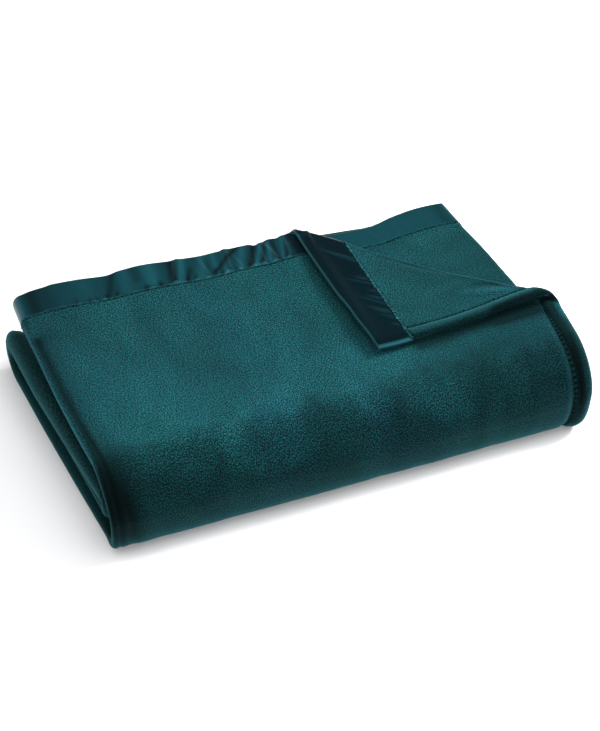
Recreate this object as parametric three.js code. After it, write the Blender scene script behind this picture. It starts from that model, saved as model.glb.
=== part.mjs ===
import * as THREE from 'three';

// A plush blanket with a satin binding along its head edge, folded in three across its width
// and seven along its length, with the back right corner of the top ply turned back.
// Millimetres, +Z up. X runs along the front fold, Y runs from the front to the back.
// The origin is the bottom centre of the folded pack.

// Driving sizes of the cloth, its hem and its satin binding
const CLOTH = { thickness: 3, thicknessUnderSatin: 2, edgeBulge: 1.1 };
const HEM = { width: 14, thickness: 5.4, step: 2.6, roundness: 0.6 };
const BINDING = { width: 41, thickness: 0.9, clearance: 0.58, endOverhang: 1.5, stitchStep: 2.5 };
const BINDING_SECTION_SHARES = [0.3, 0.62];
const BINDING_EDGE_INSET = 0.5;
const BINDING_LIP = { reach: 0.75, outerHeight: 0.68, innerHeight: 0.72 };

// Folding across: three plies in each layer, the top ply, the bottom ply and the one between them
const PLY_PITCH = 4.5;
const LOOP = { zone: 28, depthShare: 0.75, steps: 6 };
const RIGHT_FOLD_STEPS = 4;
const INNER_PLY_INSET = 8;

// Folding along: seven layers, one above the other
const LAYER_PITCH = 13.8;
const HEAD_EDGE_Y = 354;
const FOOT_EDGE_Y = 75;

// Each turn of the blanket's length. Layers are counted from the bottom. The reaches are the
// distances in Y over which the turn leaves its first layer and joins the next, and sag is the
// exponent of its curve there: 2 is an ellipse, and more hangs fuller towards the floor.
const TURNS = [
  { name: 'front', side: -1, from: 7, to: 1, apexY: 5, reachFrom: 62, reachTo: 31, steps: 10, sag: 2.8 },
  { name: 'outer back', side: 1, from: 1, to: 4, apexY: 328.7, reachFrom: 20.7, reachTo: 20.7, steps: 7 },
  { name: 'middle front', side: -1, from: 4, to: 3, apexY: 43.1, reachFrom: 6.9, reachTo: 6.9, steps: 5 },
  { name: 'inner back', side: 1, from: 3, to: 2, apexY: 306.9, reachFrom: 6.9, reachTo: 6.9, steps: 5 },
  { name: 'inner front', side: -1, from: 2, to: 5, apexY: 23.3, reachFrom: 20.7, reachTo: 20.7, steps: 7 },
  { name: 'upper back', side: 1, from: 5, to: 6, apexY: 341.9, reachFrom: 6.9, reachTo: 6.9, steps: 5 },
];

// How the folded strip lies at stations along the blanket's length. Station 0 is the head edge
// and each whole number is the end of a flat run or of a turn. left, right and hem are the
// places in X of the left fold, of the right fold and of the top ply's right edge. growOut and
// growIn are how far the left fold's loop swells on the face side and on the other side of the
// strip. pitch is the distance between plies and lift raises the strip.
const STRIP = [
  { at: 0.0, left: -8, right: 534, hem: 582, growOut: 0, growIn: 5.5, pitch: 5.7, lift: 2.6 },
  { at: 0.16, left: -7, right: 536, hem: 582, growOut: 0, growIn: 6, pitch: 5.6, lift: 2.2 },
  { at: 0.32, left: -6, right: 541, hem: 582, growOut: 0, growIn: 6, pitch: 4.6, lift: 0.2 },
  { at: 0.6, left: -4, right: 547, hem: 582, growOut: 0, growIn: 6, pitch: 4.5, lift: 0 },
  { at: 0.8, left: -2, right: 550, hem: 581, growOut: 0, growIn: 6, pitch: 4.5, lift: 0 },
  { at: 1.0, left: 0, right: 551, hem: 575, growOut: 0, growIn: 6, pitch: 4.5, lift: 0 },
  { at: 1.5, left: -1, right: 545, hem: 565, growOut: 0, growIn: 4, pitch: 4.5, lift: 0 },
  { at: 2.0, left: -1, right: 538, hem: 557, growOut: 0, growIn: 1, pitch: 4.5, lift: 0 },
  { at: 2.5, left: -17, right: 534, hem: 553, growOut: 0, growIn: 0, pitch: 4.5, lift: 0 },
  { at: 3.0, left: -30, right: 530, hem: 549, growOut: 0, growIn: 0, pitch: 4.5, lift: 0 },
  { at: 3.5, left: -32, right: 530, hem: 549, growOut: 10, growIn: 0, pitch: 4.5, lift: 0 },
  { at: 4.0, left: -33, right: 530, hem: 549, growOut: 19, growIn: 0, pitch: 4.5, lift: 0 },
  { at: 4.15, left: -32, right: 531, hem: 550, growOut: 20.5, growIn: 0, pitch: 4.5, lift: 0 },
  { at: 4.6, left: -17, right: 534, hem: 553, growOut: 19, growIn: 0, pitch: 4.5, lift: 0 },
  { at: 5.0, left: -2, right: 538, hem: 557, growOut: 12, growIn: 0, pitch: 4.5, lift: 0 },
  { at: 5.5, left: -1, right: 538, hem: 557, growOut: 5, growIn: 0, pitch: 4.5, lift: 0 },
  { at: 6.0, left: 0, right: 538, hem: 557, growOut: 0, growIn: 0, pitch: 4.5, lift: 0 },
  { at: 7.0, left: -24, right: 530, hem: 549, growOut: 0, growIn: 0, pitch: 4.5, lift: 0 },
  { at: 7.5, left: -20, right: 530, hem: 549, growOut: 0, growIn: 0, pitch: 4.5, lift: 0 },
  { at: 8.0, left: -16, right: 530, hem: 549, growOut: 0, growIn: 0, pitch: 4.5, lift: 0 },
  { at: 8.3, left: 20, right: 533, hem: 552, growOut: 0, growIn: 0, pitch: 4.5, lift: 0 },
  { at: 9.0, left: 42, right: 538, hem: 557, growOut: 0, growIn: 0, pitch: 4.5, lift: 0 },
  { at: 10.0, left: 42, right: 538, hem: 557, growOut: 0, growIn: 0, pitch: 4.5, lift: 0 },
  { at: 11.0, left: 26, right: 510, hem: 529, growOut: 0, growIn: 0, pitch: 4.5, lift: 0 },
  { at: 12.0, left: 26, right: 510, hem: 529, growOut: 0, growIn: 0, pitch: 4.5, lift: 0 },
  { at: 13.0, left: 42, right: 534, hem: 553, growOut: 0, growIn: 0, pitch: 4.5, lift: 0 },
];

// The turned back corner: its crease runs from the head edge to the right edge
const CREASE = { headX: 336, headY: 354, rightX: 582, rightY: 117 };
const ROLL = { radius: 3.7, endRadius: 6.5, widensFrom: 0.55 };
const FLAP = { restGap: 5.8, settle: 75 };
const CREASE_LEAD = 3;
const CREASE_STEPS = 7;
const FLAP_STEPS = [9, 24, 45, 70, 98];

// Ranks of the mesh columns along the section, from the top ply's right edge to the inner edge
const RANK = { hem: 0, creaseEnd: 20, topPly: 30, topPlyHidden: 40, loopTop: 80, leftFold: 80, loopBottom: 90,
  bottomPly: 120, rightFold: 130, innerPly: 140, innerEdge: 150 };

// How far the pack sinks, as a share of its height, at places in X and Y. It changes evenly
// from each place to the next.
const SINK_X = { left: 20, middle: 260, turned: 400, right: 560 };
const SINK = [
  { y: 0, left: 0, middle: 0.010, turned: 0.010, right: 0 },
  { y: 60, left: 0.003, middle: 0.036, turned: 0.038, right: 0.010 },
  { y: 140, left: 0.005, middle: 0.060, turned: 0.068, right: 0.020 },
  { y: 240, left: 0.003, middle: 0.036, turned: 0.065, right: 0.040 },
  { y: 300, left: 0, middle: 0.028, turned: 0.056, right: 0.062 },
  { y: 354, left: 0, middle: 0.028, turned: 0.056, right: 0.067 },
];

// How far the plies' head edges lie back from the top ply's, and its bumpy course
const INNER_PLY_SET_BACK = 9;
const HEAD_WAVE = { reach: 90, length: 118, depth: 2.5 };

// Mesh rows, as stations or as distances in Y, and columns, as distances from a fold or an edge
const ROLL_ROWS = 9;
const TOP_ROWS_Y = [292, 268, 240, 212, 186, 108, 88];
const LOOP_COLUMNS = [0, 8, 17, 28];
const LOOP_COLUMN_SHOWN_ONLY = 2;
const HEM_COLUMNS = [0, HEM.width * 0.25, HEM.width - HEM.step / 2, HEM.width + HEM.step / 2];
const HEM_COLUMNS_THICK = 3;
const TOP_PLY_COLUMNS = [60, 120, 190, 260];
const TOP_PLY_FINE_COLUMNS = [40, 80, 125, 182, 230];
const HIDDEN_COLUMNS = [260, 400];
const COLUMN_MARGIN = 12;
const HIDDEN_RUN_ROWS = [0.33, 0.67];

const COLORS = { plush: 0x0d474b, satin: 0x0b3c40 };

const lerp = THREE.MathUtils.lerp;
const LOWEST_MIDDLE = CLOTH.thickness / 2;
const layerHeight = (layer) => LOWEST_MIDDLE + PLY_PITCH + (layer - 1) * LAYER_PITCH;

// The route of the strip's middle in the YZ plane: flat runs and turns, one after the other
function makeRoute() {
  const pieces = [];
  let y = HEAD_EDGE_Y;
  for (const turn of TURNS) {
    const startY = turn.apexY - turn.side * turn.reachFrom;
    const endY = turn.apexY - turn.side * turn.reachTo;
    pieces.push({ kind: 'run', fromY: y, toY: startY, z: layerHeight(turn.from) });
    pieces.push({ kind: 'turn', ...turn, fromZ: layerHeight(turn.from), toZ: layerHeight(turn.to) });
    y = endY;
  }
  pieces.push({ kind: 'run', fromY: y, toY: FOOT_EDGE_Y, z: layerHeight(TURNS.at(-1).to) });
  return pieces;
}

const ROUTE = makeRoute();
const FIRST_RUN = HEAD_EDGE_Y - ROUTE[0].toY;

// A point of the route at a station: the whole part counts the pieces before it
function routePoint(station) {
  const index = Math.min(Math.max(Math.floor(station), 0), ROUTE.length - 1);
  const share = station - index;
  const piece = ROUTE[index];
  if (piece.kind === 'run') {
    return { y: lerp(piece.fromY, piece.toY, share), z: piece.z };
  }
  const firstHalf = share < 0.5;
  const reach = firstHalf ? piece.reachFrom : piece.reachTo;
  const power = firstHalf || !piece.sag ? 1 : 2 / piece.sag;
  const middle = (piece.fromZ + piece.toZ) / 2;
  const rise = (piece.fromZ - piece.toZ) / 2;
  const across = Math.sin(Math.PI * share) ** power;
  const up = Math.sign(0.5 - share) * Math.abs(Math.cos(Math.PI * share)) ** power;
  return { y: piece.apexY - piece.side * reach * (1 - across), z: middle + rise * up };
}

// The direction across the strip towards the cloth's face in the top ply
function routeNormal(station) {
  const step = 1e-3;
  const before = routePoint(station - step);
  const after = routePoint(station + step);
  const length = Math.hypot(after.y - before.y, after.z - before.z);
  return { y: (after.z - before.z) / length, z: -(after.y - before.y) / length };
}

// A row of a table at any value of its first column
function interpolatedRow(table, column, value) {
  let next = table.findIndex((row) => row[column] > value);
  next = next < 0 ? table.length - 1 : Math.max(next, 1);
  const a = table[next - 1];
  const b = table[next];
  const share = THREE.MathUtils.clamp((value - a[column]) / (b[column] - a[column]), 0, 1);
  const row = {};
  for (const key of Object.keys(a)) {
    row[key] = lerp(a[key], b[key], share);
  }
  return row;
}

const stripAt = (station) => interpolatedRow(STRIP, 'at', station);

const loopHalfHeight = (strip) => strip.pitch + (strip.growOut + strip.growIn) / 2;
const loopStart = (strip) => strip.left + LOOP.depthShare * loopHalfHeight(strip);
const rightFoldStart = (strip) => strip.right - strip.pitch / 2;

// The three plies of a strip in section: x, and the distance n from the strip's middle.
// 'along' grows from the top ply's right edge, round the left fold, round the right fold
// and back to the inner ply's left edge.
function sectionPoint(ply, along, strip) {
  const outer = strip.pitch + strip.growOut;
  const inner = strip.pitch + strip.growIn;
  const loopHalf = loopHalfHeight(strip);
  const loopDepth = loopHalf * LOOP.depthShare;
  const loopX = loopStart(strip);
  const fade = (distance) => THREE.MathUtils.smoothstep(LOOP.zone - distance, 0, LOOP.zone);
  const rightX = rightFoldStart(strip);
  if (ply === 'top') {
    const x = -along;
    return { x, n: strip.pitch + strip.growOut * fade(x - loopX) };
  }
  if (ply === 'leftFold') {
    return { x: loopX - loopDepth * Math.sin(along), n: (outer - inner) / 2 + loopHalf * Math.cos(along) };
  }
  if (ply === 'bottom') {
    return { x: along, n: -strip.pitch - strip.growIn * fade(along - loopX) };
  }
  if (ply === 'rightFold') {
    const radius = strip.pitch / 2;
    return { x: rightX + radius * Math.sin(along), n: -radius - radius * Math.cos(along) };
  }
  return { x: -along, n: 0 };
}

// The crease's direction and the direction across it towards the blanket's corner
const creaseRun = new THREE.Vector2(CREASE.rightX - CREASE.headX, CREASE.rightY - CREASE.headY);
const creaseAcross = new THREE.Vector2(-creaseRun.y, creaseRun.x).normalize();
const creaseSlope = -creaseRun.x / creaseRun.y;
const creaseX = (y) => CREASE.headX + (CREASE.headY - y) * creaseSlope;
const rollLength = Math.PI * ROLL.endRadius;
const CREASE_COLUMNS = [
  -CREASE_LEAD,
  ...Array.from({ length: CREASE_STEPS + 1 }, (_, step) => (rollLength * step) / CREASE_STEPS),
  ...FLAP_STEPS.map((distance) => rollLength + distance),
];

// The turned back corner: a roll along the crease, then the flap lying back on the top ply
function turnCorner(point) {
  const beyond = (point.x - CREASE.headX) * creaseAcross.x + (point.y - CREASE.headY) * creaseAcross.y;
  if (beyond <= 0) {
    return point;
  }
  const fromHead = new THREE.Vector2(point.x - CREASE.headX, point.y - CREASE.headY);
  const run = fromHead.dot(creaseRun) / creaseRun.lengthSq();
  const widened = THREE.MathUtils.smoothstep(run, ROLL.widensFrom, 1);
  const radius = lerp(ROLL.radius, ROLL.endRadius, widened);
  const halfTurn = Math.PI * radius;
  let place = radius * Math.sin(beyond / radius);
  let rise = radius * (1 - Math.cos(beyond / radius));
  if (beyond > halfTurn) {
    place = halfTurn - beyond;
    const settled = THREE.MathUtils.smoothstep(-place, 0, FLAP.settle);
    rise = lerp(2 * radius, FLAP.restGap, settled);
  }
  const shift = place - beyond;
  return new THREE.Vector3(point.x + shift * creaseAcross.x, point.y + shift * creaseAcross.y, point.z + rise);
}

// The share of its height that the pack keeps above a place on the floor
function heightShare(x, y) {
  const row = interpolatedRow(SINK, 'y', y);
  const places = Object.entries(SINK_X).map(([name, placeX]) => ({ placeX, sink: row[name] }));
  return 1 - interpolatedRow(places, 'placeX', x).sink;
}

// The middle surface of the folded cloth
function middlePoint(ply, along, station) {
  const strip = stripAt(station);
  const { x, n } = sectionPoint(ply, along, strip);
  const route = routePoint(station);
  const normal = routeNormal(station);
  let point = new THREE.Vector3(x, route.y + normal.y * n, route.z + normal.z * n + strip.lift);
  if (station < 1) {
    const fromHead = HEAD_EDGE_Y - route.y;
    const nearHead = 1 - THREE.MathUtils.smoothstep(fromHead, 0, HEAD_WAVE.reach);
    point.y += nearHead * HEAD_WAVE.depth * Math.sin((2 * Math.PI * x) / HEAD_WAVE.length);
    if (ply === 'inner') {
      point.y -= INNER_PLY_SET_BACK * nearHead;
    }
    if (ply === 'top') {
      const flat = new THREE.Vector3(x, route.y, point.z);
      const turned = turnCorner(flat);
      point.x += turned.x - flat.x;
      point.y += turned.y - flat.y;
      point.z = turned.z;
    }
  }
  point.z = LOWEST_MIDDLE + (point.z - LOWEST_MIDDLE) * heightShare(point.x, point.y);
  return point;
}

// The middle surface with its direction along the section, along the length, and across
function surfaceFrame(ply, along, station) {
  const step = 1e-3;
  const point = middlePoint(ply, along, station);
  const alongSection = middlePoint(ply, along + step, station).sub(middlePoint(ply, along - step, station));
  const alongLength = middlePoint(ply, along, station + step).sub(middlePoint(ply, along, station - step));
  alongSection.normalize();
  alongLength.normalize();
  const face = new THREE.Vector3().crossVectors(alongSection, alongLength).normalize();
  return { point, alongSection, alongLength, face };
}

const offsetPoint = (frame, height) => frame.point.clone().addScaledVector(frame.face, height);

// Mesh columns of one row, in their order along the section. Each has a fixed rank, so that
// neighbouring rows join like to like.
function rowColumns(station, fine) {
  const strip = stripAt(station);
  const y = routePoint(station).y;
  const start = loopStart(strip);
  const columns = [];
  const add = (rank, ply, along) => columns.push({ rank, ply, along });
  HEM_COLUMNS.forEach((inset, index) => add(RANK.hem + index, 'top', inset - strip.hem));

  const lastHemX = strip.hem - HEM.width - HEM.step;
  let limit = lastHemX;
  if (station < 1 && y > CREASE.rightY - CREASE_LEAD) {
    for (let index = CREASE_COLUMNS.length - 1; index >= 0; index -= 1) {
      const x = creaseX(y) + CREASE_COLUMNS[index] / creaseAcross.x;
      if (x < lastHemX) {
        add(RANK.creaseEnd - index, 'top', -x);
        limit = Math.min(limit, x);
      }
    }
  }
  const topColumns = fine ? TOP_PLY_FINE_COLUMNS.map((inset) => CREASE.rightX - inset) : [];
  topColumns.push(...(fine ? TOP_PLY_COLUMNS : HIDDEN_COLUMNS).toReversed());
  topColumns.forEach((x, index) => {
    if (x < limit - COLUMN_MARGIN) {
      add((fine ? RANK.topPly : RANK.topPlyHidden) + index, 'top', -x);
    }
  });

  const loopColumns = LOOP_COLUMNS.filter((inset, index) => fine || index !== LOOP_COLUMN_SHOWN_ONLY);
  loopColumns.toReversed().forEach((inset) => add(RANK.loopTop - inset, 'top', -(start + inset)));
  for (let step = 1; step < LOOP.steps; step += 1) {
    add(RANK.leftFold + step, 'leftFold', (Math.PI * step) / LOOP.steps);
  }
  loopColumns.forEach((inset) => add(RANK.loopBottom + inset, 'bottom', start + inset));
  HIDDEN_COLUMNS.forEach((x, index) => add(RANK.bottomPly + index, 'bottom', x));
  add(RANK.rightFold, 'bottom', rightFoldStart(strip));
  for (let step = 1; step <= RIGHT_FOLD_STEPS; step += 1) {
    add(RANK.rightFold + step, 'rightFold', (Math.PI * step) / RIGHT_FOLD_STEPS);
  }
  HIDDEN_COLUMNS.toReversed().forEach((x, index) => add(RANK.innerPly + index, 'inner', -x));
  add(RANK.innerEdge, 'inner', -(start + INNER_PLY_INSET));
  return columns;
}

// Stations of the mesh rows: the first run and the outer front turn are shown, the rest hidden
function meshRows() {
  const rows = [];
  const stationOf = (y) => (HEAD_EDGE_Y - y) / FIRST_RUN;
  const shownY = [...TOP_ROWS_Y];
  shownY.push(...BINDING_SECTION_SHARES.map((share) => HEAD_EDGE_Y - BINDING.width * share));
  shownY.push(HEAD_EDGE_Y - BINDING.width, HEAD_EDGE_Y - BINDING.width - BINDING.stitchStep);
  const rollSpanY = (rollLength / creaseAcross.x + HEM.width + HEM.step) / creaseSlope;
  for (let row = -1; row <= ROLL_ROWS; row += 1) {
    shownY.push(CREASE.rightY + (rollSpanY * row) / ROLL_ROWS);
  }
  shownY.sort((a, b) => b - a);
  rows.push({ station: 0, fine: true });
  rows.push(...shownY.map((y) => ({ station: stationOf(y), fine: true })));
  ROUTE.forEach((piece, index) => {
    const fine = index < 2;
    if (piece.kind === 'turn') {
      for (let step = 0; step <= piece.steps; step += 1) {
        rows.push({ station: index + step / piece.steps, fine });
      }
    } else if (index > 0) {
      rows.push(...HIDDEN_RUN_ROWS.map((share) => ({ station: index + share, fine: false })));
    }
  });
  rows.push({ station: ROUTE.length, fine: false });
  return rows;
}

// How thick the cloth is on its face side and on its other side
function clothHeights(column, station) {
  const plain = CLOTH.thickness / 2;
  const fromHead = station * FIRST_RUN;
  if (fromHead <= BINDING.width) {
    return { face: CLOTH.thicknessUnderSatin / 2, back: CLOTH.thicknessUnderSatin / 2 };
  }
  if (column.rank < RANK.hem + HEM_COLUMNS_THICK) {
    const back = HEM.thickness - plain;
    const round = column.rank === RANK.hem ? HEM.roundness : 1;
    return { face: plain * round, back: back * round };
  }
  return { face: plain, back: plain };
}

// Joins two neighbouring rows of the sheet into triangles
function joinRows(first, second, triangles) {
  let a = 0;
  let b = 0;
  while (a < first.length - 1 || b < second.length - 1) {
    const rankA = a < first.length - 1 ? first[a + 1].rank : Infinity;
    const rankB = b < second.length - 1 ? second[b + 1].rank : Infinity;
    if (rankA === rankB) {
      triangles.push([first[a].id, second[b + 1].id, second[b].id]);
      triangles.push([first[a].id, first[a + 1].id, second[b + 1].id]);
      a += 1;
      b += 1;
    } else if (rankA < rankB) {
      triangles.push([first[a].id, first[a + 1].id, second[b].id]);
      a += 1;
    } else {
      triangles.push([first[a].id, second[b + 1].id, second[b].id]);
      b += 1;
    }
  }
}

function geometryFrom(points, triangles) {
  const geometry = new THREE.BufferGeometry();
  geometry.setAttribute('position', new THREE.Float32BufferAttribute(points.flatMap((p) => p.toArray()), 3));
  geometry.setIndex(triangles.flat());
  geometry.computeVertexNormals();
  return geometry;
}

// The cloth: the whole sheet with its folds, hem and turned back corner as one closed body
function clothGeometry() {
  const grid = meshRows().map(({ station, fine }) => {
    return rowColumns(station, fine).map((column) => ({ ...column, station }));
  });
  const vertices = grid.flat();
  vertices.forEach((vertex, id) => {
    vertex.id = id;
    vertex.frame = surfaceFrame(vertex.ply, vertex.along, vertex.station);
  });
  const sheet = [];
  for (let row = 0; row + 1 < grid.length; row += 1) {
    joinRows(grid[row], grid[row + 1], sheet);
  }
  const facePoints = [];
  const backPoints = [];
  for (const vertex of vertices) {
    const heights = clothHeights(vertex, vertex.station);
    facePoints.push(offsetPoint(vertex.frame, heights.face));
    backPoints.push(offsetPoint(vertex.frame, -heights.back));
  }
  const points = [...facePoints, ...backPoints];
  const backId = (id) => id + vertices.length;
  const triangles = sheet.map(([a, b, c]) => [a, b, c]);
  triangles.push(...sheet.map(([a, b, c]) => [backId(a), backId(c), backId(b)]));

  // The rim runs round the sheet: head edge, inner edge, foot edge, right edge
  const rim = [...grid[0]];
  rim.push(...grid.slice(1).map((row) => row.at(-1)));
  rim.push(...grid.at(-1).slice(0, -1).reverse());
  rim.push(...grid.slice(1, -1).map((row) => row[0]).reverse());
  const rimStart = points.length;
  for (const vertex of rim) {
    const outward = new THREE.Vector3();
    if (grid[0].includes(vertex)) {
      outward.sub(vertex.frame.alongLength);
    }
    if (grid.at(-1).includes(vertex)) {
      outward.add(vertex.frame.alongLength);
    }
    if (vertex.rank === RANK.hem) {
      outward.sub(vertex.frame.alongSection);
    }
    if (vertex.rank === RANK.innerEdge) {
      outward.add(vertex.frame.alongSection);
    }
    const middle = facePoints[vertex.id].clone().add(backPoints[vertex.id]).multiplyScalar(0.5);
    points.push(middle.addScaledVector(outward.normalize(), CLOTH.edgeBulge));
  }
  rim.forEach((vertex, index) => {
    const next = (index + 1) % rim.length;
    const [a, b] = [vertex.id, rim[next].id];
    const [ra, rb] = [rimStart + index, rimStart + next];
    triangles.push([a, ra, rb], [a, rb, b]);
    triangles.push([ra, backId(b), rb], [ra, backId(a), backId(b)]);
  });
  return geometryFrom(points, triangles);
}

// The binding in section: distance from the head edge and height above the cloth's middle
function bindingSection() {
  const inner = CLOTH.thicknessUnderSatin / 2 + BINDING.clearance;
  const outer = inner + BINDING.thickness;
  const innerLip = -CLOTH.edgeBulge - BINDING.clearance;
  const outerLip = innerLip - BINDING.thickness;
  const sewnEdge = BINDING.width - BINDING_EDGE_INSET;
  const shares = BINDING_SECTION_SHARES.toReversed();
  const places = [sewnEdge, ...shares.map((share) => BINDING.width * share), 0];
  const half = [
    ...places.map((place) => [place, outer]),
    [outerLip * BINDING_LIP.reach, outer * BINDING_LIP.outerHeight],
    [outerLip, 0],
  ];
  const innerHalf = [
    [innerLip, 0],
    [innerLip * BINDING_LIP.reach, inner * BINDING_LIP.innerHeight],
    ...places.toReversed().map((place) => [place, inner]),
  ];
  const lower = half.slice(0, -1).reverse().map(([v, h]) => [v, -h]);
  const innerLower = innerHalf.slice(1).reverse().map(([v, h]) => [v, -h]);
  return [...half, ...lower, ...innerLower, ...innerHalf];
}

// How far the binding's two ends stand past the cloth's
const OVERHANG = { [RANK.hem]: -BINDING.endOverhang, [RANK.innerEdge]: BINDING.endOverhang };

// The satin binding: a thin folded strip over the whole head edge, as one closed body
function bindingGeometry() {
  const section = bindingSection();
  const columnsAt = (fromHead) => rowColumns(fromHead / FIRST_RUN, true);
  const kept = new Set(columnsAt(BINDING.width).map((column) => column.rank));
  const ranks = columnsAt(0).map((column) => column.rank).filter((rank) => kept.has(rank));
  const points = [];
  for (const rank of ranks) {
    for (const [fromHead, height] of section) {
      const station = fromHead / FIRST_RUN;
      const column = columnsAt(fromHead).find((candidate) => candidate.rank === rank);
      const along = column.along + (OVERHANG[rank] ?? 0);
      points.push(offsetPoint(surfaceFrame(column.ply, along, station), height));
    }
  }
  const count = section.length;
  const triangles = [];
  for (let column = 0; column + 1 < ranks.length; column += 1) {
    for (let k = 0; k < count; k += 1) {
      const next = (k + 1) % count;
      const a = column * count + k;
      const b = column * count + next;
      if (section[next][0] < section[k][0]) {
        triangles.push([a, b, a + count], [b, b + count, a + count]);
      } else {
        triangles.push([a, b, b + count], [a, b + count, a + count]);
      }
    }
  }
  const outline = section.map(([v, h]) => new THREE.Vector2(v, h));
  const caps = THREE.ShapeUtils.triangulateShape(outline, []);
  const lastColumn = (ranks.length - 1) * count;
  for (const [a, b, c] of caps) {
    triangles.push([a, c, b], [a + lastColumn, b + lastColumn, c + lastColumn]);
  }
  return geometryFrom(points, triangles);
}

function makeMesh(name, geometry, color, roughness) {
  const mesh = new THREE.Mesh(geometry, new THREE.MeshStandardMaterial({ color, roughness, metalness: 0 }));
  mesh.name = name;
  return mesh;
}

const blanket = new THREE.Group();
blanket.add(makeMesh('plush_cloth', clothGeometry(), COLORS.plush, 0.95));
blanket.add(makeMesh('satin_binding', bindingGeometry(), COLORS.satin, 0.35));

// Stand the pack on the floor, centred on the origin
const extent = new THREE.Box3().setFromObject(blanket);
const centre = extent.getCenter(new THREE.Vector3());
blanket.position.set(-centre.x, -centre.y, -extent.min.z);

export default blanket;
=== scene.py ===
"""A folded plush blanket with a satin binding: its cloth, stitches, finishes and studio."""

import logging
import math
import random
from dataclasses import dataclass, field
from enum import Enum
from typing import Callable, Iterable, Sequence

import bmesh
import bpy
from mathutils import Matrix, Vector


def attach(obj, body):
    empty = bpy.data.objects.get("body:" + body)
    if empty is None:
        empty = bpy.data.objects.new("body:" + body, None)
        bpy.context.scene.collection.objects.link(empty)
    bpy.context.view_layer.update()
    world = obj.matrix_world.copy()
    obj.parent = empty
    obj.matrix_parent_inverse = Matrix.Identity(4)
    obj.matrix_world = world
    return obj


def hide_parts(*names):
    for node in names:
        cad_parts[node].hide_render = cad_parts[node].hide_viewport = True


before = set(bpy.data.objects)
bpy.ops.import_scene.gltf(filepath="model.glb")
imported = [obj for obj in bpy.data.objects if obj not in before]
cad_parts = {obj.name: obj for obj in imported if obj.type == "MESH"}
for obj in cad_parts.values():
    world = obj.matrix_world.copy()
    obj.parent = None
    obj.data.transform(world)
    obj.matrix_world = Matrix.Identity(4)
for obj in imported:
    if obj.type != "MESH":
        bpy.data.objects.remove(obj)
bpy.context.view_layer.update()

LOG = logging.getLogger("blanket")
BODY = "root"
CLOTH_NODE = "plush_cloth"
SATIN_NODE = "satin_binding"

# The fold is worked out in millimetres, and the pieces are made in metres
MM = 0.001
PLY_PITCH = 4.5

# The flat place in metres, and two shades where a half is plain: the satin's painted highlight and shade,
# and the pile's patches with painted light and shade
UV_NAME = "cloth"
GLEAM_NAME = "gleam"
NAP_AND_SHADE_NAME = "brush"
PLAIN_SHADE = 0.5

Colour = tuple[float, float, float]
Place = tuple[float, float]


def lerp(a: float, b: float, share: float) -> float:
    """Returns the value at a share of the way from a to b."""
    return a + (b - a) * share


def smoothstep(value: float, low: float, high: float) -> float:
    """Returns 0 below low, 1 above high and a smooth rise between them."""
    share = min(max((value - low) / (high - low), 0.0), 1.0)
    return share * share * (3 - 2 * share)


def bump(distance: float, reach: float) -> float:
    """Returns 1 at no distance, falling as a soft bell with the given reach."""
    return math.exp(-((distance / reach) ** 2))


def eased(rows: Sequence[Place], at: float) -> float:
    """Reads a table of places and values, with smooth rises between its rows.

    Args:
        rows: The rows, each a place and the value there.
        at: The place to read.

    Returns:
        The value, which is 0 before the first row and after the last.
    """
    if not rows[0][0] < at < rows[-1][0]:
        return 0.0
    for row, following in zip(rows, rows[1:]):
        if at <= following[0]:
            break
    return lerp(row[1], following[1], smoothstep(at, row[0], following[0]))


def spaced(start: float, end: float, step: float) -> list[float]:
    """Returns even places from start up to but not including end.

    Args:
        start: The first place.
        end: Where the places stop.
        step: The largest distance between two places.

    Returns:
        The places, start included.
    """
    count = max(1, round((end - start) / step))
    return [lerp(start, end, index / count) for index in range(count)]


def beside_line(start: Place, end: Place, place: Place) -> tuple[float, float, float]:
    """Finds where a place lies beside a line of the flat cloth.

    Args:
        start: The line's start.
        end: The line's end.
        place: The place.

    Returns:
        Its share of the way along, its distance to the side, and the line's length.
    """
    run_u, run_v = end[0] - start[0], end[1] - start[1]
    from_u, from_v = place[0] - start[0], place[1] - start[1]
    length = math.hypot(run_u, run_v)
    share = (from_u * run_u + from_v * run_v) / length**2
    return share, abs(from_u * run_v - from_v * run_u) / length, length


class Ply(Enum):
    """The stretches of the strip that is folded in three across."""

    TOP = "top"
    LEFT_FOLD = "left fold"
    BOTTOM = "bottom"
    RIGHT_FOLD = "right fold"
    INNER = "inner"


class Side(Enum):
    """The two sides of the cloth."""

    FACE = 1
    BACK = -1


class PackEnd(Enum):
    """The ends of the pack at which the blanket's length turns, with their direction in Y."""

    REAR = 1
    FRONT = -1


@dataclass(frozen=True)
class Run:
    """A flat stretch of the blanket's length."""

    start: float
    end: float
    height: float

    def point(self, share: float) -> tuple[float, float]:
        """Returns y and z at a share of the run."""
        return lerp(self.start, self.end, share), self.height


@dataclass(frozen=True)
class Turn:
    """A turn of the blanket's length from one layer to another.

    apex is its furthest place in Y. The reaches are the distances over which the turn leaves
    its first layer and joins the next. sag is the exponent of its lower curve.
    """

    at: PackEnd
    start_layer: int
    end_layer: int
    apex: float
    reach_from: float
    reach_to: float
    sag: float = 2.0

    def point(self, share: float, heights: tuple[float, float]) -> tuple[float, float]:
        """Finds a place on the turn.

        Args:
            share: Its share of the way round.
            heights: The heights of the first layer and of the next.

        Returns:
            Its y and z.
        """
        first_half = share < 0.5
        reach = self.reach_from if first_half else self.reach_to
        power = 1.0 if first_half else 2.0 / self.sag
        across = max(math.sin(math.pi * share), 0.0) ** power
        cosine = math.cos(math.pi * share)
        up = math.copysign(abs(cosine) ** power, cosine)
        middle = (heights[0] + heights[1]) / 2
        rise = (heights[0] - heights[1]) / 2
        return self.apex - self.at.value * reach * (1 - across), middle + rise * up


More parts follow.
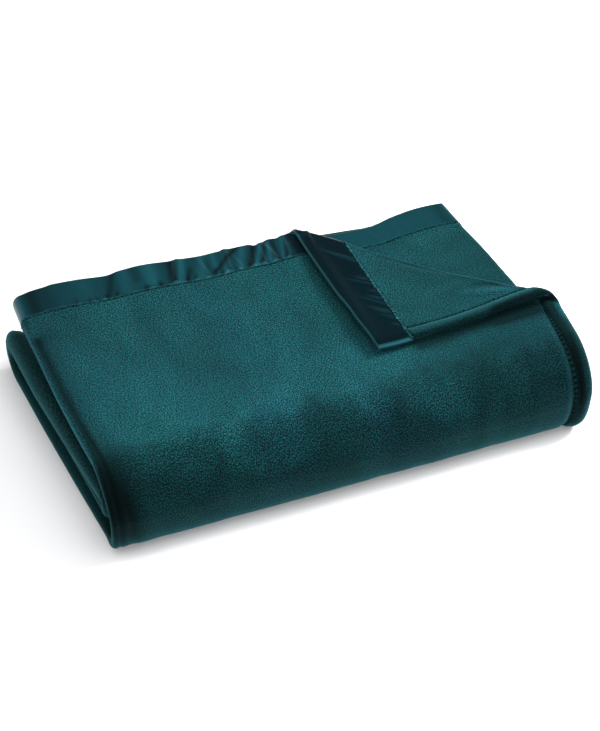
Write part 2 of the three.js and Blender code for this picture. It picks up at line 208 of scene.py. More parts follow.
@dataclass(frozen=True)
class StripRow:
    """How the folded strip lies at one station along the blanket's length.

    Each whole station is the end of a flat run or of a turn. left, right and hem are the places
    in X of the left fold, of the right fold and of the top ply's right edge. The left fold's
    loop swells by grow_out on the face side and by grow_in on the other. The plies lie pitch
    apart, and lift raises the strip.
    """

    at: float
    left: float
    right: float
    hem: float
    grow_out: float = 0.0
    grow_in: float = 0.0
    pitch: float = PLY_PITCH
    lift: float = 0.0

    def between(self, other: "StripRow", share: float) -> "StripRow":
        """Returns the row at a share of the way to another row."""
        names = self.__dataclass_fields__
        return StripRow(*(lerp(getattr(self, name), getattr(other, name), share) for name in names))


@dataclass(frozen=True)
class SinkRow:
    """The share of its height that the pack loses at one place in Y."""

    y: float
    left: float
    middle: float
    turned: float
    right: float


@dataclass(frozen=True)
class Trough:
    """A soft trough along a line of the flat cloth. A negative depth is a ridge.

    start and end are places on the flat cloth, and the depth goes towards the cloth's back.
    The trough ends at reach times its width, and fades over a share of its length at each end.
    """

    start: Place
    end: Place
    width: float
    depth: float
    reach: float = 2.5
    fade: float = 0.3

    def relief(self, u: float, v: float) -> float:
        """Works out the trough's relief at a place of the flat cloth.

        Args:
            u: The distance across from the right hem.
            v: The distance along from the head edge.

        Returns:
            How far the cloth rises, which is negative in a trough.
        """
        share, across, _ = beside_line(self.start, self.end, (u, v))
        if across > self.reach * self.width or not -self.fade < share < 1 + self.fade:
            return 0.0
        begins = smoothstep(share, -self.fade, self.fade)
        ends = 1 - smoothstep(share, 1 - self.fade, 1 + self.fade)
        return -self.depth * begins * ends * bump(across, self.width)


@dataclass
class BlanketFold:
    """Maps the flat cloth to its place in the folded pack.

    A place on the flat cloth is u, measured across from the right hem, v, measured along from
    the head edge, and a height above the cloth's middle towards its face side, in millimetres.
    """

    thickness: float = 3.0
    thickness_under_satin: float = 2.0
    edge_bulge: float = 1.1
    hem_width: float = 19.0
    hem_seam_inset: float = 0.8
    binding_width: float = 41.0
    layer_pitch: float = 13.8
    head_edge_y: float = 354.0
    foot_edge_y: float = 75.0
    loop_zone: float = 28.0
    loop_depth_share: float = 0.75
    inner_ply_inset: float = 8.0
    inner_ply_set_back: float = 9.0
    set_back_run: float = 134.0
    head_wave_reach: float = 90.0
    head_wave_length: float = 118.0
    head_wave_depth: float = 2.5
    head_dips: tuple[Place, ...] = (
        (0, 0), (60, 0.5), (105, 3), (180, 6), (240, 9), (286, 11), (310, 4), (330, 0),
    )
    under_dips: tuple[Place, ...] = (
        (340, 0), (395, 6), (428, 6), (466, 0), (552, 0), (583, 7), (584, 7),
    )
    hem_band: float = 30.0
    top_width: float = 582.0
    left_fold_width: float = 18.0
    bottom_width: float = 536.0
    right_fold_width: float = 7.0
    inner_width: float = 526.0
    crease_head: Place = (336.0, 354.0)
    crease_right: Place = (582.0, 117.0)
    roll_radius: float = 3.7
    roll_end_radius: float = 6.5
    roll_widens_from: float = 0.55
    flap_rest_gap: float = 7.2
    flap_settle: float = 75.0
    pack_centre: tuple[float, float, float] = (273.72, 179.02, -0.04)
    floor_gap: float = 0.05
    slope_step: float = 0.05
    troughs: tuple[Trough, ...] = (
        Trough((470, 70), (430, 240), 24, 0.7),
        Trough((360, 90), (330, 260), 28, -0.8),
        Trough((260, 150), (230, 270), 22, 0.8),
        Trough((540, 110), (500, 280), 20, -0.6),
        Trough((150, 250), (130, 300), 18, 0.6),
        Trough((430, 290), (440, 400), 16, 0.9),
        Trough((330, 300), (345, 390), 20, -0.9),
        Trough((250, 290), (262, 410), 14, 0.8),
        Trough((180, 300), (190, 400), 16, -0.8),
        Trough((110, 285), (118, 400), 12, 0.9),
        Trough((60, 262), (72, 380), 9, -0.8),
        Trough((36, 262), (44, 340), 6, 0.7),
        Trough((520, 300), (530, 400), 14, 0.8),
        Trough((135, 87), (90, 135), 3.5, -1.0),
        Trough((128, 80), (84, 128), 5, 0.5),
        Trough((45, 165), (30, 185), 4, -0.8),
        Trough((4, 60), (4, 200), 14, 3.8),
        Trough((566, 240), (566, 410), 8, 1.8),
        Trough((580, 70), (580, 400), 4.0, 3.0),
        Trough((588, 60), (588, 400), 2.6, -0.9),
        Trough((50, 130), (30, 172), 4, 1.2),
        Trough((58, 145), (40, 182), 4, -1.0),
        Trough((20, 0), (190, 0), 10, 2.2),
        Trough((250, 9), (194, 1), 2.2, 1.4),
        Trough((22, 262), (22, 400), 4.5, 2.6),
        Trough((9, 262), (9, 400), 6, -1.6),
    )
    turns: tuple[Turn, ...] = (
        Turn(PackEnd.FRONT, 7, 1, 5.0, 62.0, 31.0, 2.8),
        Turn(PackEnd.REAR, 1, 4, 336.7, 20.7, 20.7),
        Turn(PackEnd.FRONT, 4, 3, 43.1, 6.9, 6.9),
        Turn(PackEnd.REAR, 3, 2, 306.9, 6.9, 6.9),
        Turn(PackEnd.FRONT, 2, 5, 23.3, 20.7, 20.7),
        Turn(PackEnd.REAR, 5, 6, 341.9, 6.9, 6.9),
    )
    strip_rows: tuple[StripRow, ...] = (
        StripRow(0.0, -15, 537, 578, grow_in=9, pitch=5.7, lift=2.4),
        StripRow(0.16, -15, 541, 580, grow_in=9, pitch=5.6, lift=2.0),
        StripRow(0.32, -13, 547, 582, grow_in=6, pitch=4.6, lift=0.2),
        StripRow(0.6, -10, 553, 583, grow_in=6),
        StripRow(0.8, -6, 555, 583, grow_in=6),
        StripRow(1.0, -1, 554, 578, grow_in=6),
        StripRow(1.5, -1, 546, 566, grow_in=4),
        StripRow(2.0, -1, 539, 559, grow_in=1),
        StripRow(2.5, -17, 534, 553),
        StripRow(3.0, -30, 530, 549),
        StripRow(3.5, -32, 530, 549, grow_out=10),
        StripRow(4.0, -33, 530, 549, grow_out=19),
        StripRow(4.15, -32, 531, 550, grow_out=20.5),
        StripRow(4.6, -17, 534, 553, grow_out=19),
        StripRow(5.0, -2, 538, 557, grow_out=12),
        StripRow(5.5, -1, 538, 557, grow_out=5),
        StripRow(6.0, 0, 538, 557),
        StripRow(7.0, -24, 530, 549),
        StripRow(7.5, -20, 530, 549),
        StripRow(8.0, -16, 530, 549),
        StripRow(8.3, 20, 533, 552),
        StripRow(9.0, 42, 538, 557),
        StripRow(10.0, 42, 538, 557),
        StripRow(11.0, 26, 510, 529),
        StripRow(12.0, 26, 510, 529),
        StripRow(13.0, 42, 534, 553),
    )
    sink_x: tuple[float, ...] = (20.0, 260.0, 400.0, 560.0)
    sink_rows: tuple[SinkRow, ...] = (
        SinkRow(0, 0, 0.010, 0.010, 0),
        SinkRow(60, 0.003, 0.036, 0.038, 0.010),
        SinkRow(140, 0.005, 0.060, 0.068, 0.020),
        SinkRow(240, 0.003, 0.036, 0.065, 0.040),
        SinkRow(300, 0, 0.028, 0.056, 0.062),
        SinkRow(354, 0, 0.028, 0.056, 0.067),
    )
    pieces: list[Run | Turn] = field(init=False)
    piece_starts: list[float] = field(init=False)
    crease_run: Vector = field(init=False)
    crease_across: Vector = field(init=False)
    known: dict[Place, tuple[Vector, Vector]] = field(init=False, default_factory=dict)

    def __post_init__(self) -> None:
        """Lays out the runs, the turns and their flat lengths, and the corner's crease."""
        self.pieces = []
        y = self.head_edge_y
        for turn in self.turns:
            start = turn.apex - turn.at.value * turn.reach_from
            self.pieces.append(Run(y, start, self.layer_height(turn.start_layer)))
            self.pieces.append(turn)
            y = turn.apex - turn.at.value * turn.reach_to
        self.pieces.append(Run(y, self.foot_edge_y, self.layer_height(self.turns[-1].end_layer)))
        self.piece_starts = [0.0]
        for index in range(len(self.pieces)):
            self.piece_starts.append(self.piece_starts[-1] + self.piece_length(index))
        creased_x = self.crease_right[0] - self.crease_head[0]
        creased_y = self.crease_right[1] - self.crease_head[1]
        self.crease_run = Vector((creased_x, creased_y))
        self.crease_across = Vector((-creased_y, creased_x)).normalized()

    def layer_height(self, layer: int) -> float:
        """Returns the height of a layer's middle, counted from the bottom."""
        return self.thickness / 2 + PLY_PITCH + (layer - 1) * self.layer_pitch

    def piece_length(self, index: int) -> float:
        """Measures the flat length of one run or turn.

        Args:
            index: Its place among the runs and turns.

        Returns:
            Its length along the strip's middle.
        """
        steps = 40
        places = [Vector(self.route_point(index + step / steps)) for step in range(steps + 1)]
        return sum((b - a).length for a, b in zip(places, places[1:]))

    def route_point(self, station: float) -> tuple[float, float]:
        """Finds the strip's middle at a station.

        Args:
            station: The station along the blanket's length.

        Returns:
            Its y and z.
        """
        index = min(max(math.floor(station), 0), len(self.pieces) - 1)
        piece = self.pieces[index]
        if isinstance(piece, Run):
            return piece.point(station - index)
        heights = (self.layer_height(piece.start_layer), self.layer_height(piece.end_layer))
        return piece.point(min(station - index, 1.0), heights)

    def route_normal(self, station: float) -> tuple[float, float]:
        """Finds the direction across the strip towards the face of its top ply.

        Args:
            station: The station along the blanket's length.

        Returns:
            The direction's y and z.
        """
        step = 1e-3
        before = self.route_point(station - step)
        after = self.route_point(station + step)
        length = math.hypot(after[0] - before[0], after[1] - before[1])
        return (after[1] - before[1]) / length, -(after[0] - before[0]) / length

    def station(self, v: float) -> float:
        """Finds the station of a place along the flat cloth.

        Args:
            v: The distance along from the head edge.

        Returns:
            The station, whose whole part numbers the run or turn.
        """
        last = len(self.pieces) - 1
        index = last
        for candidate in range(last):
            if v < self.piece_starts[candidate + 1]:
                index = candidate
                break
        start = self.piece_starts[index]
        return index + (v - start) / (self.piece_starts[index + 1] - start)

    def strip(self, station: float) -> StripRow:
        """Reads how the strip lies at a station.

        Args:
            station: The station along the blanket's length.

        Returns:
            The row, blended between the two nearest ones.
        """
        rows = self.strip_rows
        for row, following in zip(rows, rows[1:]):
            if station < following.at or following is rows[-1]:
                share = (station - row.at) / (following.at - row.at)
                return row.between(following, min(max(share, 0.0), 1.0))
        return rows[-1]

    def flat_width(self) -> float:
        """Returns the flat cloth's width across."""
        folds = self.left_fold_width + self.right_fold_width
        return self.top_width + self.bottom_width + self.inner_width + folds

    def flat_length(self) -> float:
        """Returns the flat cloth's length from head to foot."""
        return self.piece_starts[-1]

    def loop_half(self, strip: StripRow) -> float:
        """Returns half the height of the left fold's loop."""
        return strip.pitch + (strip.grow_out + strip.grow_in) / 2

    def loop_start(self, strip: StripRow) -> float:
        """Returns where in X the left fold's loop starts."""
        return strip.left + self.loop_depth_share * self.loop_half(strip)

    def spot(self, u: float, strip: StripRow) -> tuple[Ply, float]:
        """Finds the ply at a place across the flat cloth.

        Args:
            u: The distance across from the right hem.
            strip: How the strip lies there.

        Returns:
            The ply, with x on the flat plies and the angle turned on the folds.
        """
        start = self.loop_start(strip)
        right = strip.right - strip.pitch / 2
        if u <= self.hem_band:
            return Ply.TOP, strip.hem - u
        if u < self.top_width:
            share = (u - self.hem_band) / (self.top_width - self.hem_band)
            return Ply.TOP, lerp(strip.hem - self.hem_band, start, share)
        u -= self.top_width
        if u < self.left_fold_width:
            return Ply.LEFT_FOLD, math.pi * u / self.left_fold_width
        u -= self.left_fold_width
        if u < self.bottom_width:
            return Ply.BOTTOM, lerp(start, right, u / self.bottom_width)
        u -= self.bottom_width
        if u < self.right_fold_width:
            return Ply.RIGHT_FOLD, math.pi * u / self.right_fold_width
        u -= self.right_fold_width
        return Ply.INNER, lerp(right, start + self.inner_ply_inset, u / self.inner_width)

    def section(self, ply: Ply, along: float, strip: StripRow) -> tuple[float, float]:
        """Finds a place in the strip's section.

        Args:
            ply: The ply or fold.
            along: The place in X on a flat ply, or the angle turned on a fold.
            strip: How the strip lies there.

        Returns:
            Its x and its distance from the strip's middle.
        """
        outer = strip.pitch + strip.grow_out
        inner = strip.pitch + strip.grow_in
        half = self.loop_half(strip)
        start = self.loop_start(strip)
        if ply is Ply.TOP:
            swell = 1 - smoothstep(along - start, 0, self.loop_zone)
            return along, strip.pitch + strip.grow_out * swell
        if ply is Ply.LEFT_FOLD:
            depth = half * self.loop_depth_share
            return start - depth * math.sin(along), (outer - inner) / 2 + half * math.cos(along)
        if ply is Ply.BOTTOM:
            swell = 1 - smoothstep(along - start, 0, self.loop_zone)
            return along, -strip.pitch - strip.grow_in * swell
        if ply is Ply.RIGHT_FOLD:
            radius = strip.pitch / 2
            return strip.right - radius + radius * math.sin(along), -radius - radius * math.cos(along)
        return along, 0.0

    def beyond_crease(self, x: float, y: float) -> float:
        """Returns how far a place lies beyond the turned corner's crease."""
        from_head = Vector((x - self.crease_head[0], y - self.crease_head[1]))
        return from_head.dot(self.crease_across)

    def turn_corner(self, point: Vector) -> Vector:
        """Turns the blanket's corner back in a roll along the crease.

        Args:
            point: A place of the top ply before it is turned.

        Returns:
            The same place after the turn.
        """
        beyond = self.beyond_crease(point.x, point.y)
        if beyond <= 0:
            return point
        from_head = Vector((point.x - self.crease_head[0], point.y - self.crease_head[1]))
        run = from_head.dot(self.crease_run) / self.crease_run.length_squared
        radius = lerp(self.roll_radius, self.roll_end_radius, smoothstep(run, self.roll_widens_from, 1))
        half_turn = math.pi * radius
        if beyond > half_turn:
            place = half_turn - beyond
            rise = lerp(2 * radius, self.flap_rest_gap, smoothstep(-place, 0, self.flap_settle))
        else:
            place = radius * math.sin(beyond / radius)
            rise = radius * (1 - math.cos(beyond / radius))
        shift = (place - beyond) * self.crease_across
        return Vector((point.x + shift.x, point.y + shift.y, point.z + rise))

    def height_share(self, x: float, y: float) -> float:
        """Works out how far the pack has sunk at a place.

        Args:
            x: The place in X.
            y: The place in Y.

        Returns:
            The share of its height that the pack keeps there.
        """
        rows = self.sink_rows
        y = min(max(y, rows[0].y), rows[-1].y)
        for row, following in zip(rows, rows[1:]):
            if y <= following.y:
                break
        share = (y - row.y) / (following.y - row.y)
        names = ("left", "middle", "turned", "right")
        sinks = [lerp(getattr(row, name), getattr(following, name), share) for name in names]
        x = min(max(x, self.sink_x[0]), self.sink_x[-1])
        for index in range(len(self.sink_x) - 1):
            if x <= self.sink_x[index + 1]:
                break
        low, high = self.sink_x[index], self.sink_x[index + 1]
        return 1 - lerp(sinks[index], sinks[index + 1], smoothstep(x, low, high))

    def head_dip(self, ply: Ply, x: float) -> float:
        """Returns how far a ply's head edge lies forward of its line at a place in X."""
        return eased(self.head_dips, x) + (0.0 if ply is Ply.TOP else eased(self.under_dips, x))

    def shape_head(self, point: Vector, ply: Ply, flat: Place, strip: StripRow) -> None:
        """Gives the head of a ply its wave and dip, and turns the top ply's corner.

        Args:
            point: A place of the ply, which is moved.
            ply: The ply.
            flat: The place's x and y on the flat run.
            strip: How the strip lies there.
        """
        x, y = flat
        near_head = 1 - smoothstep(self.head_edge_y - y, 0, self.head_wave_reach)
        wave = self.head_wave_depth * math.sin(2 * math.pi * x / self.head_wave_length)
        point.y += near_head * (wave - self.head_dip(ply, x))
        if ply is Ply.INNER:
            from_fold = strip.right - strip.pitch / 2 - x
            set_back = self.inner_ply_set_back * min(from_fold / self.set_back_run, 1.0)
            point.y -= set_back * near_head
        if ply is Ply.TOP:
            turned = self.turn_corner(Vector((x, y, point.z)))
            point.x += turned.x - x
            point.y += turned.y - y
            point.z = turned.z

    def middle(self, u: float, v: float) -> Vector:
        """Folds a place of the flat cloth's middle.

        Args:
            u: The distance across from the right hem.
            v: The distance along from the head edge.

        Returns:
            Where it lies in the pack.
        """
        station = self.station(v)
        strip = self.strip(station)
        ply, along = self.spot(u, strip)
        x, across = self.section(ply, along, strip)
        y, z = self.route_point(station)
        normal_y, normal_z = self.route_normal(station)
        point = Vector((x, y + normal_y * across, z + normal_z * across + strip.lift))
        if station < 1:
            self.shape_head(point, ply, (x, y), strip)
        lowest = self.thickness / 2
        point.z = lowest + (point.z - lowest) * self.height_share(point.x, point.y)
        return point

    def surface(self, u: float, v: float) -> tuple[Vector, Vector]:
        """Folds a place of the flat cloth's middle with its troughs and ridges.

        Args:
            u: The distance across from the right hem.
            v: The distance along from the head edge.

        Returns:
            The place, and the direction towards the cloth's face there.
        """
        key = (round(u, 3), round(v, 3))
        if key not in self.known:
            step = self.slope_step
            across = self.middle(u + step, v) - self.middle(u - step, v)
            along = self.middle(u, v + step) - self.middle(u, v - step)
            face = across.cross(along).normalized()
            relief = sum(trough.relief(u, v) for trough in self.troughs)
            self.known[key] = (self.middle(u, v) + face * relief, face)
        return self.known[key]

    def place(self, u: float, v: float, height: float) -> Vector:
        """Folds a place of the flat cloth into the part's frame.

        Args:
            u: The distance across from the right hem.
            v: The distance along from the head edge.
            height: The height above the cloth's middle towards its face.

        Returns:
            The folded place, in metres.
        """
        point, face = self.surface(u, v)
        placed = point + face * height - Vector(self.pack_centre)
        placed.z = max(placed.z, self.floor_gap)
        return placed * MM


def flat_slab(across: Sequence[float], along: Sequence[float], half: float) -> bmesh.types.BMesh:
    """Makes a flat slab with edges at given places.

    Args:
        across: The places of its columns.
        along: The places of its rows.
        half: Half its thickness.

    Returns:
        A closed slab whose vertices lie at plus or minus half.
    """
    bm = bmesh.new()
    bmesh.ops.create_grid(bm, x_segments=len(across) - 1, y_segments=len(along) - 1, size=1)
    for vert in bm.verts:
        column = round((vert.co.x + 1) / 2 * (len(across) - 1))
        row = round((vert.co.y + 1) / 2 * (len(along) - 1))
        vert.co = (across[column], along[row], half)
    bmesh.ops.solidify(bm, geom=bm.faces[:], thickness=2 * half)
    return bm


class Detail(Enum):
    """How finely a stretch of the flat cloth is cut."""

    NONE = "left as it is"
    ALONG = "cut finer along the length"
    BOTH = "cut finer both ways"


def each_once(items: Iterable[object]) -> list[object]:
    """Returns the items in their order, each of them once."""
    return list(dict.fromkeys(items))


def refine(bm: bmesh.types.BMesh, detail: Callable[[Vector], Detail], cuts: int) -> None:
    """Cuts the faces of a slab finer where they show.

    Args:
        bm: The slab.
        detail: Tells from a face's centre how finely it is cut.
        cuts: How many cuts each edge gets.
    """
    straight = 0.1
    edges = []
    for face in bm.faces:
        wanted = detail(face.calc_center_median())
        if wanted is Detail.NONE:
            continue
        for edge in face.edges:
            run = edge.verts[1].co - edge.verts[0].co
            if abs(run.z) < straight and (wanted is Detail.BOTH or abs(run.x) < straight):
                edges.append(edge)
    bmesh.ops.subdivide_edges(bm, edges=each_once(edges), cuts=cuts, use_grid_fill=True)


def dress(bm: bmesh.types.BMesh, name: str, finish: bpy.types.Material) -> bpy.types.Object:
    """Makes a finished piece of a mesh and lets it ride with the blanket.

    Args:
        bm: The mesh, in metres, which is freed.
        name: The piece's name.
        finish: Its material.

    Returns:
        The new object.
    """
    bmesh.ops.triangulate(bm, faces=[face for face in bm.faces if len(face.verts) > 4])
    mesh = bpy.data.meshes.new(name)
    bm.to_mesh(mesh)
    bm.free()
    mesh.shade_smooth()
    mesh.materials.append(finish)
    piece = bpy.data.objects.new(name, mesh)
    bpy.context.scene.collection.objects.link(piece)
    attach(piece, BODY)
    LOG.info("%s: %d faces", name, len(mesh.polygons))
    return piece


def keep_flat_places(bm: bmesh.types.BMesh) -> None:
    """Keeps the first two coordinates of a flat mesh as its UV map, in metres.

    Args:
        bm: The flat mesh, in millimetres.
    """
    layer = bm.loops.layers.uv.new(UV_NAME)
    for face in bm.faces:
        for loop in face.loops:
            loop[layer].uv = (loop.vert.co.x * MM, loop.vert.co.y * MM)


def fold_mesh(bm: bmesh.types.BMesh, fold: BlanketFold, height: Callable[[Vector], float]) -> None:
    """Folds a flat mesh into the pack.

    Args:
        bm: The flat mesh, whose first two coordinates are u and v.
        fold: The fold.
        height: Gives the height above the cloth's middle at a vertex of the flat mesh.
    """
    for vert in bm.verts:
        flat = vert.co.copy()
        vert.co = fold.place(flat.x, flat.y, height(flat))
    bmesh.ops.recalc_face_normals(bm, faces=bm.faces[:])


@dataclass(frozen=True)
class NapAndShadeMark:
    """A soft oval patch that paints the pile lighter or darker: a patch of pile tone in a few places,
    painted light and shade in most.
    """

    u: float
    v: float
    reach_u: float
    reach_v: float
    shade: float

    def share(self, u: float, v: float) -> float:
        """Returns how much lighter the patch paints the pile at a place, which is negative where it paints
        it darker.
        """
        return self.shade * bump(math.hypot((u - self.u) / self.reach_u, (v - self.v) / self.reach_v), 1)


@dataclass(frozen=True)
class NapAndShadeLine:
    """A soft streak between two places of the flat cloth that paints the pile lighter or darker, as painted
    light and shade.
    """

    start: Place
    end: Place
    width: float
    shade: float

    def share(self, u: float, v: float) -> float:
        """Works out the streak's shade at a place of the flat cloth.

        Args:
            u: The distance across from the right hem.
            v: The distance along from the head edge.

        Returns:
            How much lighter the streak paints the pile there, which is negative where it paints it darker.
        """
        share, across, length = beside_line(self.start, self.end, (u, v))
        past_end = (share - min(max(share, 0.0), 1.0)) * length
        return self.shade * bump(math.hypot(across, past_end), self.width)


@dataclass
class PlushCloth:
    """The blanket's plush cloth with its turned hems."""

    fold: BlanketFold
    coarse_step: float = 12.6
    cuts: int = 3
    loop_step: float = 2.25
    right_fold_step: float = 1.75
    roll_step: float = 1.6
    hidden_rows: int = 3
    turn_rows: int = 9
    hem_columns: tuple[float, ...] = (0.0, 4.0, 12.0, 19.0, 24.0)
    groove_depth: float = 1.5
    groove_width: float = 2.2
    face_tube: float = 2.5
    back_tube: float = 2.5
    seam_puff: float = 0.7
    puff_reach: float = 3.0
    seam_edges: Place = (-0.4, 1.0)
    rim_share: float = 0.6
    rim_edges: Place = (-0.5, 3.5)
    inner_detail_rows: float = 240.0
    inner_detail_reach: float = 215.0
    inner_detail_slope: float = 0.9
    # Patches of pile tone and, mostly, painted light and shade: painted shadow under the flap's hem and in
    # the right hem's groove, painted shade in the left fold's valley, along the corner's crease and on the
    # flap's ridges, and painted light on the left rim and on the outer band.
    brush_marks: tuple[NapAndShadeMark | NapAndShadeLine, ...] = (
        NapAndShadeMark(75, 270, 90, 46, -0.25),
        NapAndShadeMark(150, 285, 90, 30, -0.1),
        NapAndShadeMark(45, 305, 40, 40, -0.08),
        NapAndShadeMark(560, 60, 22, 50, -0.08),
        NapAndShadeMark(270, 318, 58, 28, 0.15),
        NapAndShadeMark(130, 336, 60, 30, 0.08),
        NapAndShadeMark(522, 305, 45, 40, 0.06),
        NapAndShadeMark(578, 370, 24, 90, -0.4),
        NapAndShadeMark(590, 400, 30, 80, -0.3),
        NapAndShadeMark(450, 345, 60, 40, 0.06),
        NapAndShadeMark(100, 110, 100, 80, -0.11),
        NapAndShadeMark(1148, 130, 52, 75, -0.2),
        NapAndShadeLine((3, 262), (3, 440), 6, -0.22),
        NapAndShadeLine((13, 222), (15, 440), 5.5, -0.46),
        NapAndShadeLine((0, 20), (0, 222), 8, -0.4),
        NapAndShadeLine((2, 150), (3, 218), 8, -0.3),
        NapAndShadeLine((180, 239), (34, 226), 9, -0.38),
        NapAndShadeLine((75, 230), (22, 232), 13, -0.4),
        NapAndShadeLine((239, -6), (-11, 225), 4.5, -0.18),
        NapAndShadeLine((49, 132), (31, 171), 4, 0.12),
        NapAndShadeLine((57, 146), (42, 180), 4, -0.14),
        NapAndShadeLine((582, 80), (581, 420), 5.0, -0.48),
        NapAndShadeLine((571, 80), (569, 420), 9, -0.16),
        NapAndShadeLine((589, 60), (589, 400), 2.4, 0.28),
        NapAndShadeLine((602, 450), (600, 705), 14, 0.45),
    )

    def columns(self) -> list[float]:
        """Spaces the mesh columns across the flat cloth, closer on its folds.

        Returns:
            Their places.
        """
        fold = self.fold
        left = fold.top_width
        bottom = left + fold.left_fold_width
        right = bottom + fold.bottom_width
        inner = right + fold.right_fold_width
        places = [*self.hem_columns]
        places += spaced(fold.hem_band, left - fold.loop_zone, self.coarse_step)
        places += spaced(left - fold.loop_zone, left, self.coarse_step / 2)
        places += spaced(left, bottom, self.loop_step)
        places += spaced(bottom, bottom + fold.loop_zone, self.coarse_step / 2)
        places += spaced(bottom + fold.loop_zone, right, self.coarse_step * 2)
        places += spaced(right, inner, self.right_fold_step)
        places += spaced(inner, fold.flat_width(), self.coarse_step)
        return [*places, fold.flat_width()]

    def rows(self) -> list[float]:
        """Spaces the mesh rows along the flat cloth, closer at the seam and where it shows.

        Returns:
            Their places.
        """
        fold = self.fold
        starts = fold.piece_starts
        places = spaced(0, fold.binding_width, self.coarse_step)
        places += [fold.binding_width, fold.binding_width + self.puff_reach]
        places += spaced(fold.binding_width + self.coarse_step, starts[1], self.coarse_step)
        places += spaced(starts[1], starts[2], self.coarse_step)
        for index in range(2, len(fold.pieces)):
            turning = isinstance(fold.pieces[index], Turn)
            count = self.turn_rows if turning else self.hidden_rows
            places += spaced(starts[index], starts[index + 1], (starts[index + 1] - starts[index]) / count)
        return [*places, fold.flat_length()]

    def detail(self, centre: Vector) -> Detail:
        """Chooses how finely a face of the flat cloth is cut.

        Args:
            centre: The face's centre.

        Returns:
            The detail that it gets.
        """
        fold = self.fold
        if centre.y > fold.piece_starts[2]:
            return Detail.NONE
        if centre.x < fold.top_width:
            return Detail.BOTH
        if centre.x < fold.top_width + fold.left_fold_width + fold.loop_zone:
            return Detail.ALONG
        on_inner = centre.x - fold.flat_width() + fold.inner_width
        shown = self.inner_detail_reach - self.inner_detail_slope * centre.y
        if centre.y < self.inner_detail_rows and -fold.right_fold_width < on_inner < shown:
            return Detail.BOTH if on_inner > 0 else Detail.ALONG
        return Detail.NONE

    def height(self, flat: Vector) -> float:
        """Works out the height of the cloth's surface at a place of the flat slab.

        Args:
            flat: The place, with its height on the slab.

        Returns:
            The height above the cloth's middle, which is 0 at the middle of its rim.
        """
        fold = self.fold
        plain = fold.thickness / 2
        if abs(flat.z) < plain / 2:
            return 0.0
        from_seam = flat.y - fold.binding_width
        under_satin = 1 - smoothstep(from_seam, *self.seam_edges)
        half = lerp(plain, fold.thickness_under_satin / 2, under_satin)
        half += self.seam_puff * bump(from_seam - self.puff_reach, self.puff_reach) * (1 - under_satin)
        edge = lerp(self.rim_share, 1, smoothstep(flat.x, *self.rim_edges))
        across = flat.x / fold.hem_width
        tube = math.sqrt(4 * across * (1 - across)) if 0 < across < 1 else 0.0
        groove = bump(flat.x - fold.hem_width - fold.hem_seam_inset, self.groove_width)
        swell = self.face_tube if flat.z > 0 else self.back_tube
        rise = (swell * tube - self.groove_depth * groove) * (1 - under_satin)
        return math.copysign(half * edge + rise, flat.z)

    def build(self, finish: bpy.types.Material) -> bpy.types.Object:
        """Makes the folded cloth.

        Args:
            finish: The plush.

        Returns:
            The cloth's object.
        """
        fold = self.fold
        bm = flat_slab(self.columns(), self.rows(), fold.thickness / 2)
        refine(bm, self.detail, self.cuts)
        cut_along_crease(bm, fold, self.roll_step)
        round_the_rim(bm, fold)
        # Each vertex keeps the marks' pile tone with painted light and shade as an attribute
        brushed_and_shaded = bm.verts.layers.float.new(NAP_AND_SHADE_NAME)
        for vert in bm.verts:
            shade = sum(mark.share(vert.co.x, vert.co.y) for mark in self.brush_marks)
            vert[brushed_and_shaded] = PLAIN_SHADE + shade
        keep_flat_places(bm)
        fold_mesh(bm, fold, self.height)
        piece = dress(bm, "plush_blanket", finish)
        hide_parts(CLOTH_NODE)
        return piece


def cut_along_crease(bm: bmesh.types.BMesh, fold: BlanketFold, step: float) -> None:
    """Cuts edges into a flat mesh along the roll of the turned corner.

    Args:
        bm: The flat mesh, whose first two coordinates are u and v.
        fold: The fold.
        step: The distance between two cuts.
    """
    margin = 25.0
    near = 14.0
    welded = 0.15
    last_row = fold.crease_head[1] - fold.crease_right[1] + margin
    roll = math.pi * fold.roll_end_radius
    across = fold.crease_across
    normal = Vector((-across.x, -across.y, 0))
    origin = Vector((fold.top_width - fold.crease_head[0], 0, 0))
    for offset in spaced(-step, roll + 2 * step, step):
        point = origin + normal * offset
        faces = []
        for face in bm.faces:
            centre = face.calc_center_median()
            on_corner = 0 <= centre.x < fold.top_width and centre.y < last_row
            if on_corner and abs((centre - point).dot(normal)) < near:
                faces.append(face)
        edges = each_once(edge for face in faces for edge in face.edges)
        verts = each_once(vert for face in faces for vert in face.verts)
        geom = [*verts, *edges, *faces]
        bmesh.ops.bisect_plane(bm, geom=geom, dist=welded, plane_co=point, plane_no=normal)


def round_the_rim(bm: bmesh.types.BMesh, fold: BlanketFold) -> None:
    """Gives the slab's narrow rim a middle line that stands a little outwards.

    Args:
        bm: The flat slab.
        fold: The fold, for the cloth's size.
    """
    least_height = 0.5
    near = 0.01
    width, length = fold.flat_width(), fold.flat_length()
    upright = [edge for edge in bm.edges if abs(edge.verts[0].co.z - edge.verts[1].co.z) > least_height]
    cut = bmesh.ops.subdivide_edges(bm, edges=upright, cuts=1)
    for vert in cut["geom_inner"]:
        if not isinstance(vert, bmesh.types.BMVert):
            continue
        if vert.co.x < near:
            vert.co.x = -fold.edge_bulge
        if vert.co.x > width - near:
            vert.co.x = width + fold.edge_bulge
        if vert.co.y < near:
            vert.co.y = -fold.edge_bulge
        if vert.co.y > length - near:
            vert.co.y = length + fold.edge_bulge


